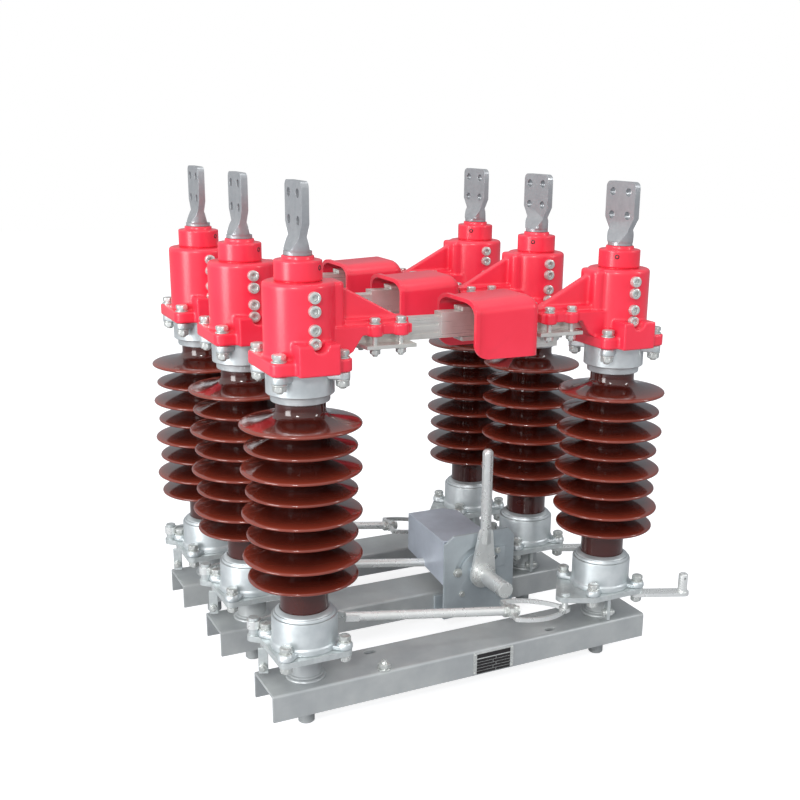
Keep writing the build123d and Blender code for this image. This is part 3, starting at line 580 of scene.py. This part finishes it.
insulator_set = [insulator_shape, moved(insulator_shape, column_spacing)]
for item in on_poles(
    ("porcelain", "porcelain"), insulator_set, brown_glaze, ("insulator", "insulators"), 60,
):
    mark_rims(item)


# The red castings. Aluminium sand castings under thick red enamel: a drum on a skirt with four lugs,
# a notched pad, and an arm whose saddle straddles the bar. Their parts melt into one skin, and the
# collar is a turned ring that sits on the drum with a narrow dark joint.
housing_radius = 56.0
skirt_top = cap_top + 21.0
collar_base = cap_top + 136.0
collar_top = collar_base + 32.0
blade_bottom = cap_top + 33.0
blade_top = blade_bottom + 35.5
blade_half = 13.0
saddle_top = blade_top + 4.5
flange_top = blade_top - 4.5
flange_low = flange_top - 15.5
arm_bolts = [(x, y) for x in (115.0, 160.0) for y in (-29.0, 29.0)]


def upright(outline, y0, y1):
    """A plate that stands in the XZ plane: its outline (x, z) is carried from y0 to y1."""
    outline = np.asarray(outline, float)
    count = len(outline)
    near = np.column_stack([outline[:, 0], np.full(count, y0), outline[:, 1]])
    far = np.column_stack([outline[:, 0], np.full(count, y1), outline[:, 1]])
    faces = [list(range(count)), list(range(2 * count - 1, count - 1, -1))]
    faces += [[k, k + count, (k + 1) % count + count, (k + 1) % count] for k in range(count)]
    return np.vstack([near, far]), faces


def casting_parts():
    """The closed shapes that one casting is made from, left-handed, about its column's axis."""
    seat, crown, skirt_lug = cap_top + 0.3, 6.5, 15.0
    drum = [(0, seat), (housing_radius, seat)]
    for angle in np.linspace(0, pi / 2, 9):
        drum.append((housing_radius - crown * (1 - cos(angle)), collar_base - crown * (1 - sin(angle))))
    drum.append((0, collar_base))
    skirt = outline_of([(x, y, skirt_lug) for x, y in lug_places], 96)
    root = outline_of([(0, -16, 12), (55, -16, 12), (55, 16, 12), (0, 16, 12)], 72)
    shapes = [
        turned(drum, 128),
        slab(skirt, seat, skirt_top, 1.5),
        slab(root, skirt_top - 2, collar_base - 1.5, 5),
    ]
    start, end, gap = 10.0, 178.0, 0.3
    inner, wall, flange_half = blade_half + gap, 18.0, 32.0
    foot, saddle_low, shoulder = skirt_top - 1, blade_top + gap, cap_top + 124
    side = [
        (start, foot), (70, foot), (78, skirt_top + 4), (93, flange_low), (end, flange_low), (end, flange_top),
        (start, flange_top),
    ]
    saddle = [(start, flange_low), (end, flange_low), (end, saddle_top), (start, saddle_top)]
    for hand in (-1, 1):
        shapes.append(upright(side, *sorted((hand * inner, hand * flange_half))))
        shapes.append(upright(saddle, *sorted((hand * inner, hand * wall))))
    shapes.append(upright([(start, foot), (63.5, foot), (63.5, flange_top), (start, flange_top)], -30, 30))
    bridge = [(start, saddle_low), (end, saddle_low), (end, saddle_top), (start, saddle_top)]
    shapes.append(upright(bridge, -wall, wall))
    gusset = [
        (20, cap_top + 60), (60, blade_top), (165, blade_top + 2), (165, saddle_top + 0.5), (70, shoulder),
        (20, shoulder),
    ]
    shapes.append(upright(gusset, -7, 7))
    low, high = flange_low - 2, flange_top + 2
    bolt_boss = [(0, low), (11.5, low), (12.5, low + 1), (12.5, high - 1), (11.5, high), (0, high)]
    shapes += [moved(turned(bolt_boss, 48), x, y) for x, y in arm_bolts]
    notch_x, notch_radius = 6.0, 12.5
    pad_left, pad_right, pad_high = -29, 37, cap_top + 48
    pad = [(pad_left, seat), (pad_right, seat), (pad_right, pad_high)]
    for angle in np.linspace(0, -pi, 25):
        pad.append((notch_x + notch_radius * cos(angle), pad_high + notch_radius * sin(angle)))
    pad.append((pad_left, pad_high))
    shapes.append(upright(pad, -81, -20))
    return shapes


def melted(name, shapes, grain=2.0, passes=3):
    """The shapes' union as one skin: rebuilt on a grid of that many millimetres, then relaxed, which
    leaves a cast fillet where two of them meet."""
    points, faces = joined(shapes)
    mesh = bpy.data.meshes.new(name)
    mesh.from_pydata((points / 1000).tolist(), [], faces)
    work = bmesh.new()
    work.from_mesh(mesh)
    bmesh.ops.recalc_face_normals(work, faces=work.faces)
    work.to_mesh(mesh)
    work.free()
    item = bpy.data.objects.new(name, mesh)
    bpy.context.scene.collection.objects.link(item)
    skin = item.modifiers.new("skin", "REMESH")
    skin.mode = "VOXEL"
    skin.voxel_size = grain / 1000
    relax = item.modifiers.new("relax", "SMOOTH")
    relax.factor = 0.5
    relax.iterations = passes
    view = item.evaluated_get(bpy.context.evaluated_depsgraph_get())
    result = bpy.data.meshes.new_from_object(view)
    out = np.empty(len(result.vertices) * 3, np.float32)
    result.vertices.foreach_get("co", out)
    polygons = [list(face.vertices) for face in result.polygons]
    bpy.data.objects.remove(item)
    return out.reshape(-1, 3).astype(float) * 1000, polygons


def fired_enamel(name):
    """Red enamel over a sand casting: a deep gloss with a slow waviness from the casting beneath."""
    made, tree, shader = material(name)
    place = add(tree, "ShaderNodeTexCoord").outputs["Object"]
    cloud_mm, wave_mm, peel_mm = 111.11, 18.0, 2.4
    cloud = add(tree, "ShaderNodeTexNoise", Vector=place, Scale=1000 / cloud_mm, Detail=3.0)
    tone = add(tree, "ShaderNodeMapRange", Value=cloud.outputs["Fac"], From_Min=0.3, From_Max=0.7)
    mixed = add(
        tree, "ShaderNodeMix", {"data_type": "RGBA"},
        in0=tone.outputs["Result"], in6=linear("#e82840"), in7=linear("#f0344c"),
    )
    tree.links.new(mixed.outputs[2], shader.inputs["Base Color"])
    waves = add(tree, "ShaderNodeTexNoise", Vector=place, Scale=1000 / wave_mm, Detail=1.0)
    peel = add(tree, "ShaderNodeTexNoise", Vector=place, Scale=1000 / peel_mm, Detail=0.0)
    both = add(
        tree, "ShaderNodeMath", {"operation": "MULTIPLY_ADD"},
        in0=peel.outputs["Fac"], in1=0.12, in2=waves.outputs["Fac"],
    )
    relief = add(tree, "ShaderNodeBump", Height=both.outputs["Value"], Strength=0.15, Distance=0.001)
    tree.links.new(relief.outputs["Normal"], shader.inputs["Normal"])
    shader.inputs["Roughness"].default_value = 0.36
    shader.inputs["Specular IOR Level"].default_value = 0.4
    shader.inputs["Coat Weight"].default_value = 0.45
    shader.inputs["Coat Roughness"].default_value = 0.22
    return made


red_enamel = fired_enamel("red_enamel")
collar = turned([
    (0, collar_base - 3), (34.5, collar_base - 3), (34.5, collar_base + 1.0), (36.4, collar_base + 1.2),
    (37, collar_base + 1.9), (37, collar_base + 4), (37, collar_top - 4), (37, collar_top - 2),
    (36.4, collar_top - 0.6), (35, collar_top), (33, collar_top), (25.6, collar_top), (25, collar_top + 0.6),
    (25, collar_top + 4.5), (24.6, collar_top + 5.7), (23.4, collar_top + 6.3), (0, collar_top + 6.3),
], 128)


def both_columns(shape):
    """The left column's shape, and its mirror image in the right column's place."""
    return [shape, moved(handed(shape), column_spacing)]


castings = both_columns(joined([melted("casting_form", casting_parts()), collar]))
casting_nodes = ("arm_casting", "arm_castings")
on_poles(("red_casting", "red_castings"), castings, red_enamel, casting_nodes, 50)


# The rain hoods. Bent from red sheet over the contact: an arch open below and towards the blade,
# with a flared lip round its mouth and its front feet cut round, and wide low shoulders.
def shown_hood(x, y, z):
    """Turns each round shoulder into a quarter ellipse, wide and low: a point in the old quarter circle
    goes out along its own ray by the ratio of the new outline's reach to the old radius. Then the right
    end is drawn out and the feet are raised, in proportion."""
    old, half, wide, high = 34.0, 67.0, 40.0, 20.0
    foot, mouth, back = cap_top - 2, column_spacing - 326, column_spacing - 204
    top = foot + np.interp(x, [mouth, back], [98, 105])
    across, above = np.abs(y) - (half - old), z - (top - old)
    inside = (across > 0) & (above > 0)
    ray = np.arctan2(above, across)
    c, s = np.cos(ray), np.sin(ray)
    right_by, up_by = wide - old, old - high
    square = (c / wide) ** 2 + (s / high) ** 2
    slope = 2 * (right_by * c / wide ** 2 - up_by * s / high ** 2)
    constant = (right_by / wide) ** 2 + (up_by / high) ** 2 - 1
    round_reach = (-slope + np.sqrt(np.maximum(slope ** 2 - 4 * square * constant, 0))) / (2 * square)
    side_reach = old / np.maximum(c, 1e-6)
    reach = np.where(side_reach * s < up_by, side_reach, round_reach)
    stretch = np.where(inside, reach / old, 1.0)
    y, z = y + np.sign(y) * across * (stretch - 1), z + above * (stretch - 1)
    drawn_out = 3.5 * np.interp(x, [column_spacing - 300, column_spacing - 205], [0, 1])
    raised = 4.5 * np.interp(z, [foot, foot + 60], [1, 0])
    return x + drawn_out, y, z + raised


for pole in poles:
    body = "right_column" if pole == "front" else "frame"
    reshaped(broken_edges(f"rain_hood_{pole}", red_enamel, body, 1.5, 3), shown_hood, pole)


# The blades and contacts. Copper bar drawn with two grooves down each side, silver plated, with
# steel clamp plates under the saddles.
def plated_copper(name):
    """Silver plate over drawn copper: bright and soft, with draw lines along the bar, coarser than real
    ones so that they show."""
    made, tree, shader = material(name)
    place = add(tree, "ShaderNodeTexCoord").outputs["Object"]
    line_mm, line_length_mm, cloud_mm = 0.8, 166.67, 33.333
    stretched = (1000 / line_length_mm, 1000 / line_mm, 1000 / line_mm)
    along = add(tree, "ShaderNodeMapping", Vector=place, Scale=stretched)
    lines = add(tree, "ShaderNodeTexNoise", Vector=along.outputs["Vector"], Scale=1.0, Detail=2.0)
    cloud = add(tree, "ShaderNodeTexNoise", Vector=place, Scale=1000 / cloud_mm, Detail=4.0)
    tone = add(tree, "ShaderNodeMapRange", Value=cloud.outputs["Fac"], From_Min=0.35, From_Max=0.7)
    mixed = add(
        tree, "ShaderNodeMix", {"data_type": "RGBA"},
        in0=tone.outputs["Result"], in6=linear("#e4e3df"), in7=linear("#d2d1cb"),
    )
    tree.links.new(mixed.outputs[2], shader.inputs["Base Color"])
    gloss = add(
        tree, "ShaderNodeMapRange", Value=lines.outputs["Fac"],
        From_Min=0.3, From_Max=0.7, To_Min=0.27, To_Max=0.32,
    )
    tree.links.new(gloss.outputs["Result"], shader.inputs["Roughness"])
    relief = add(tree, "ShaderNodeBump", Height=lines.outputs["Fac"], Strength=0.02, Distance=0.0002)
    tree.links.new(relief.outputs["Normal"], shader.inputs["Normal"])
    shader.inputs["Metallic"].default_value = 0.7
    return made


def shown_level(z):
    """Sets the tops of the bar, its head and the fingers to the levels that show, in proportion."""
    low, high = blade_bottom, cap_top + 79
    shown = np.interp(z, [low, high - 4, high, high + 8], [low, blade_top, blade_top + 6.5, blade_top + 14.5])
    return np.where(z > low - 0.5, shown, z)


def slim_blade(x, y, z):
    """Lowers the blade, moves the step to its head outwards and draws the head's sides in."""
    at_step = (x > 224) & (x < 232)
    head = (z > blade_bottom - 5) & (x > 225) & (np.abs(y) < 17)
    return np.where(at_step, x + 10, x), np.where(head, np.clip(y, -13.4, 13.4), y), shown_level(z)


def reaching_contact(x, y, z):
    """Lowers the contact, and moves the tips of its fingers along the bar to where they show."""
    return np.where(x < 290, x + 12, x), y, shown_level(z)


silver_plate = plated_copper("silver_plate")
for pole in poles:
    sides = ("left_column", "right_column") if pole == "front" else ("frame", "frame")
    blade = broken_edges(f"blade_{pole}", silver_plate, sides[0], 0.8)
    contact = broken_edges(f"contact_{pole}", silver_plate, sides[1], 0.6)
    reshaped(blade, slim_blade, pole)
    reshaped(contact, reaching_contact, pole)


# The terminal palms. Sand-cast aluminium, blasted, each a thick flag with four holes on a round stem
# that stands in the collar's bore. Copies of the CAD's solids with softened edges.
cast_aluminium = dipped_zinc("cast_aluminium", "#b1b4b7", "#9ea2a6", 0.36)
for side in ("left", "right"):
    broken_edges(f"terminal_front_{side}", cast_aluminium, f"{side}_terminal", 2.0, 3)
for pole in ("middle", "rear"):
    broken_edges(f"terminals_{pole}", cast_aluminium, "frame", 2.0, 3)


# The linkage. Bright zinc-plated steel, bent and drilled: a rod pinned between the two turntables of
# each pole, a drive lever bolted under one lug, and a pipe's end on the middle lever's pin.
rod_lift = 6.0


def raised_rod(x, y, z):
    """Raises the rod between its left eye, which stays, and its fork, whose pin reaches the plate."""
    fork_pin = (z > 118) & (x > 490)
    return x, y, z + np.where(fork_pin, plate_lift, rod_lift * np.interp(x, [-50, 60], [0, 1]))


def swung_lever(x, y, z):
    """Turns a drive lever forward about its lug's bolt, and raises it to the lifted plate."""
    turn_by = radians(-13)
    out, back = x - column_spacing - lug, y + lug
    turned_x = out * cos(turn_by) - back * sin(turn_by)
    turned_y = out * sin(turn_by) + back * cos(turn_by)
    return turned_x + column_spacing + lug, turned_y - lug, z + plate_lift


def shown_coupling(x, y, z):
    """Follows the middle pole's lever, while the end of the pipe keeps its distance from the front."""
    return x - 5.8, y - 19.3 * np.interp(y, [125, 165], [0, 1]), z + plate_lift


bright_zinc = dipped_zinc("bright_zinc", "#eceeed", "#dde0df", 0.3, 0.05)
for pole in poles:
    body = "link_rod" if pole == "front" else "frame"
    reshaped(broken_edges(f"link_rod_{pole}", bright_zinc, body, 0.5), raised_rod, pole)
    body = "right_column" if pole == "front" else "frame"
    reshaped(broken_edges(f"drive_lever_{pole}", bright_zinc, body, 0.8), swung_lever, pole)

# The pipe's end is drawn dark grey. This is painted shade, standing for the shade it lies in.
pipe_painted_shade = sprayed_steel("pipe_painted_shade", "#4a4e50", "#2e3234", 0.5)
reshaped(broken_edges("pipe_coupling", pipe_painted_shade, "frame", 0.8), shown_coupling)


# The hand mechanism. A bent, sprayed front plate bolted to the middle channel, with a sheet cover
# behind it, a sector of sheet behind its slot, and a zinc-plated lever on a round shaft.
mechanism_paint = sprayed_steel("mechanism_paint", "#c7cfdb", "#b5bdc9", 0.38)
plate_paint = sprayed_steel("plate_paint", "#bcc6cb", "#aab3b9", 0.4)


def shown_bracket(x, y, z):
    """Raises the front plate's top edge, and its left shoulder more, and draws its left edge out."""
    left, top, shoulder = x < 353, z > 205, (z > 185) & (x < 353)
    return np.where(left, x - 1.5, x), y, z + np.where(top, 4.0, 0) + np.where(shoulder, 9.0, 0)


def leaning_cover(x, y, z):
    """Widens the cover to the left and leans its roof and its foot down towards the front plate."""
    forward_share = (338 - y) / 160
    low, high = web + 50.0, web + 129.0
    return np.where(x < 400, x - 6.5, x), y, z - forward_share * np.interp(z, [low, high], [20.0, 7.0])


reshaped(broken_edges("mechanism_bracket", plate_paint, "frame", 0.8), shown_bracket)
reshaped(broken_edges("mechanism_cover", mechanism_paint, "frame", 0.8), leaning_cover)

shaft_x, shaft_z, plate_front = 430.0, web + 46.0, 172.0
slot_outer, slot_inner = 62.0, 40.0
sweep = np.radians(np.linspace(92, 180, 24))
arc = np.column_stack([np.cos(sweep), np.sin(sweep)])
sector = np.vstack([arc * slot_outer, arc[::-1] * slot_inner]) + [shaft_x, shaft_z]
piece("quadrant_plate", upright(sector, plate_front + 6.2, plate_front + 9.2), plate_paint, "frame")
broken_edges("mechanism_shaft", bright_zinc, "hand_lever", 0.8)
broken_edges("mechanism_handle", bright_zinc, "hand_lever", 1.0)


# The bolts of the columns. Bright zinc-plated hexagon bolts with plain washers, through each pair of
# lugs, and slimmer ones through the arm's bosses down to the clamp plate, whose shanks stay bare.
bolt_zinc = dipped_zinc("bolt_zinc", "#dfe2e0", "#b9bdba", 0.28)


def hexagon(across, around=48):
    """A hexagon's radius in each direction: half its width across flats, over the cosine of the angle
    to the nearest flat's middle."""
    angle = np.linspace(0, 2 * pi, around, endpoint=False)
    return across / 2 / np.cos((angle + pi / 6) % (pi / 3) - pi / 6)


def hex_block(across, low, high):
    """A hexagon nut or bolt head whose corners are turned off at both ends."""
    full, drawn = hexagon(across), np.minimum(hexagon(across), across * 0.515)
    face = across * 0.46
    return turned([
        (0, low), (face, low), (drawn, low + 0.5), (full, low + 1.4), (full, high - 1.4), (drawn, high - 0.5),
        (face, high), (0, high),
    ], 48)


def washer(radius, low, high):
    """A plain washer with its rims just broken."""
    flat = radius - 0.3
    return turned([(0, low), (flat, low), (radius, low + 0.4), (radius, high - 0.4), (flat, high), (0, high)], 48)


def threaded(radius, low, high, pitch=1.5):
    """A bolt's end: ridges a pitch apart, with a bevelled tip at the low end."""
    profile = [(0, low), (radius * 0.75, low), (radius, low + 1.2)]
    level = low + 1.2
    while level + pitch < high:
        profile += [(radius - 0.45, level + pitch / 2), (radius, level + pitch)]
        level += pitch
    return turned(profile + [(radius - 0.3, high), (0, high)], 32)


def through_bolt(across, seat, under, end, bare=False):
    """A bolt down the axis: its head, spring washer and washer above the upper seat, and washer, nut and
    thread end below the lower one, with a bare shank between them if it shows."""
    radius, plain, thick, spring = across * 0.31, across * 0.62, across * 0.12, across * 0.13
    head = seat + thick + spring
    nut = under - thick - across * 0.5
    parts = [
        washer(plain, seat, seat + thick), washer(across * 0.47, seat + thick + 0.2, head),
        hex_block(across, head, head + across * 0.42),
        washer(plain, under - thick, under), hex_block(across, nut, under - thick),
        threaded(radius, end, nut + 0.5),
    ]
    if bare:
        parts.append(turned([(0, under - 1), (radius, under - 1), (radius, seat + 1), (0, seat + 1)], 32))
    return joined(parts)


def column_bolts(lever_thick):
    """All the upright bolts of one column: four above, four below and four through the arm. One below
    also holds the drive lever, where there is one, so its nut sits lower by the lever's thickness."""
    parts = []
    for x, y in lug_places:
        parts.append(moved(through_bolt(19.0, skirt_top, cap_top - 12, cap_top - 27), x, y))
        under = plate_bottom + plate_lift - (lever_thick if (x, y) == (-lug, -lug) else 0.0)
        parts.append(moved(through_bolt(18.0, cap_foot + 12, under, under - 14), x, y))
    for x, y in arm_bolts:
        parts.append(moved(through_bolt(15.0, flange_top + 2, blade_bottom - 6, blade_bottom - 19, True), x, y))
    return joined(parts)


bolts = [column_bolts(0.0), both_columns(column_bolts(7.0))[1]]
on_poles(("column_bolts", "column_bolts"), bolts, bolt_zinc)


# The clamp screws. Four plated socket-head screws across each drum's split, level with the pad's
# notch, and a near-black hollow set screw in the collar that locks the terminal's stem, whose dark is
# partly painted shade of the hole it sits in.
def socket_head(radius, across, height, depth):
    """A cylinder head that looks up the axis, with a hexagon socket sunk in it."""
    socket, floor_level = hexagon(across), height - depth
    return turned([
        (0, 0), (radius, 0), (radius, height - 1.2), (radius - 0.4, height - 0.4), (radius - 1.2, height),
        (socket + 0.5, height), (socket, height - 0.5), (socket, floor_level + 0.3), (socket - 0.3, floor_level),
        (0, floor_level - 1),
    ], 48)


clamp_levels = (734.7, 714.0, 685.2, 664.8)
clamp_x = 4.0
clamp_head = socket_head(9.2, 9.0, 9.0, 5.0)
clamps = joined([moved(clamp_head, clamp_x, 1 - housing_radius, level, tilt=90) for level in clamp_levels])
on_poles(("clamp_screws", "clamp_screws"), both_columns(clamps), bolt_zinc)

# Phosphated and oiled steel shows as a dull near-black. Its grain is drawn coarser than the real one.
black_steel, tree, shader = material("black_steel")
place = add(tree, "ShaderNodeTexCoord").outputs["Object"]
grain_mm = 1.11
grain = add(tree, "ShaderNodeTexNoise", Vector=place, Scale=1000 / grain_mm, Detail=2.0)
tone = add(
    tree, "ShaderNodeMix", {"data_type": "RGBA"},
    in0=grain.outputs["Fac"], in6=linear("#101113"), in7=linear("#282425"),
)
tree.links.new(tone.outputs[2], shader.inputs["Base Color"])
shader.inputs["Roughness"].default_value = 0.4
# The set screw's near-black is partly a black screw and partly painted shade, the dark of its hole.
set_screw = socket_head(4.4, 4.4, 1.4, 3.0)
set_angle, set_reach = -48.0, 36.2
set_place = (set_reach * cos(radians(set_angle)), set_reach * sin(radians(set_angle)), collar_base + 21)
set_screw = moved(set_screw, *set_place, spin=set_angle + 90, tilt=90)
on_poles(("set_screw", "set_screws"), both_columns(set_screw), black_steel)


# The fittings of the linkage and the frame. Hexagon nuts that lock the rod in its yoke, stop screws
# in the hanging stops, and a bolt that waits in one of the web's slots.
rod_start = np.array([-66.64, 66.64, web + 80])
rod_finish = np.array([505.88, -23.47, web + 26])
rod_run = np.linalg.norm(rod_finish - rod_start)
rod_way = (rod_finish - rod_start) / rod_run


def along_rod(shape, distance):
    """A shape whose axis is laid along the link rod, that many millimetres from its left eye."""
    side = np.cross([0, 0, 1], rod_way)
    side /= np.linalg.norm(side)
    lift = np.cross(rod_way, side)
    points, faces = shape
    return points @ np.array([lift, side * -1, rod_way]) + rod_start + rod_way * distance, faces


yoke = rod_run - 112.0
rod_nuts = along_rod(joined([
    washer(12.0, -6.5, -4.2), hex_block(21.0, -13.5, -6.0), hex_block(21.0, 4.2, 12.2),
    moved(threaded(8.8, -18.6, -12.0), tilt=180),
]), yoke)
for pole in poles:
    body = "link_rod" if pole == "front" else "frame"
    piece(f"rod_nuts_{pole}", moved(rod_nuts, *poles[pole], rod_lift), bolt_zinc, body)

stop_screw = joined([
    washer(8.0, 3.0, 4.6), hex_block(13.0, 4.4, 10.0), hex_block(13.0, -9.6, -3.0), threaded(4.0, -14.0, -9.0),
])


def stop_fittings(radius, angle):
    """The screw through a hanging stop, level, square to the stop's plate."""
    a = radians(angle)
    return moved(stop_screw, radius * cos(a), radius * sin(a), web + 19, spin=angle, tilt=90)


stops = [stop_fittings(70.0, 158.0), moved(stop_fittings(50.0, 255.0), column_spacing)]
on_poles(("stop_screw", "stop_screws"), stops, bolt_zinc)

web_bolt = joined([washer(12.0, 0, 2.2), hex_block(19.0, 2.2, 11.0), moved(threaded(6.0, -16.0, -10.6), tilt=180)])
piece("web_bolt", moved(web_bolt, 128.0, -38.5, web), bolt_zinc, "frame")


# The mechanism's fittings. A locking bolt at the foot of the quadrant, one at the top of the lock
# plate and one low on the front plate, all set from the front.
def facing(shape, x, z, y):
    """A shape whose axis is turned to look out of the front plate."""
    return moved(shape, x, y, z, tilt=90)


low_head = joined([washer(9.5, 0, 1.2), hex_block(15.0, 1.2, 6.0)])
small_head = joined([washer(6.5, 0, 1.0), hex_block(10.0, 1.0, 4.4)])
piece("mechanism_bolts", joined([
    facing(low_head, 379.5, web + 53.1, plate_front),
    facing(small_head, 467.0, web + 88.0, plate_front - 4),
    facing(small_head, 390.0, web + 6.0, plate_front),
]), bolt_zinc, "frame")


# The nameplate. A blank printed aluminium plate on the front channel: a bright rim round black
# fields, held by a rivet at each corner.
plate_left, plate_right = 297.0, 380.0
plate_low, plate_high = web - 46.0, web - 4.0
channel_half, margin, rivet_in = 50.0, 7.0, 3.5


def flag(left, right, low, high, proud, thick, corner):
    """A thin plate against the front flange, with round corners."""
    rollers = [(x, z, corner) for x in (left + corner, right - corner) for z in (low + corner, high - corner)]
    outline = outline_of(rollers, 32)
    return moved(slab(outline, 0, thick, 0.15, 1), y=-channel_half - proud, tilt=90)


rivet = turned([(0, 0), (2.0, 0), (1.8, 0.7), (1.0, 1.2), (0, 1.3)], 24)
piece("nameplate_rim", joined([flag(plate_left, plate_right, plate_low, plate_high, 0.0, 1.0, 3.0)] + [
    moved(rivet, x, -channel_half - 1, z, tilt=90)
    for x in (plate_left + rivet_in, plate_right - rivet_in) for z in (plate_low + rivet_in, plate_high - rivet_in)
]), bolt_zinc, "frame")
fields = [flag(plate_left + margin, plate_right - margin, plate_high - 11, plate_high - 3, 0.9, 0.4, 0.6)]
row_height, row_gap, field_gap = 5.2, 0.6, 0.8
for row in range(5):
    top = plate_high - 13 - row * (row_height + row_gap)
    split = plate_left + (40.0 if row % 2 else 46.0)
    fields.append(flag(plate_left + margin, split, top - row_height, top, 0.9, 0.4, 0.4))
    fields.append(flag(split + field_gap, plate_right - margin, top - row_height, top, 0.9, 0.4, 0.4))
piece("nameplate_fields", joined(fields), black_steel, "frame")
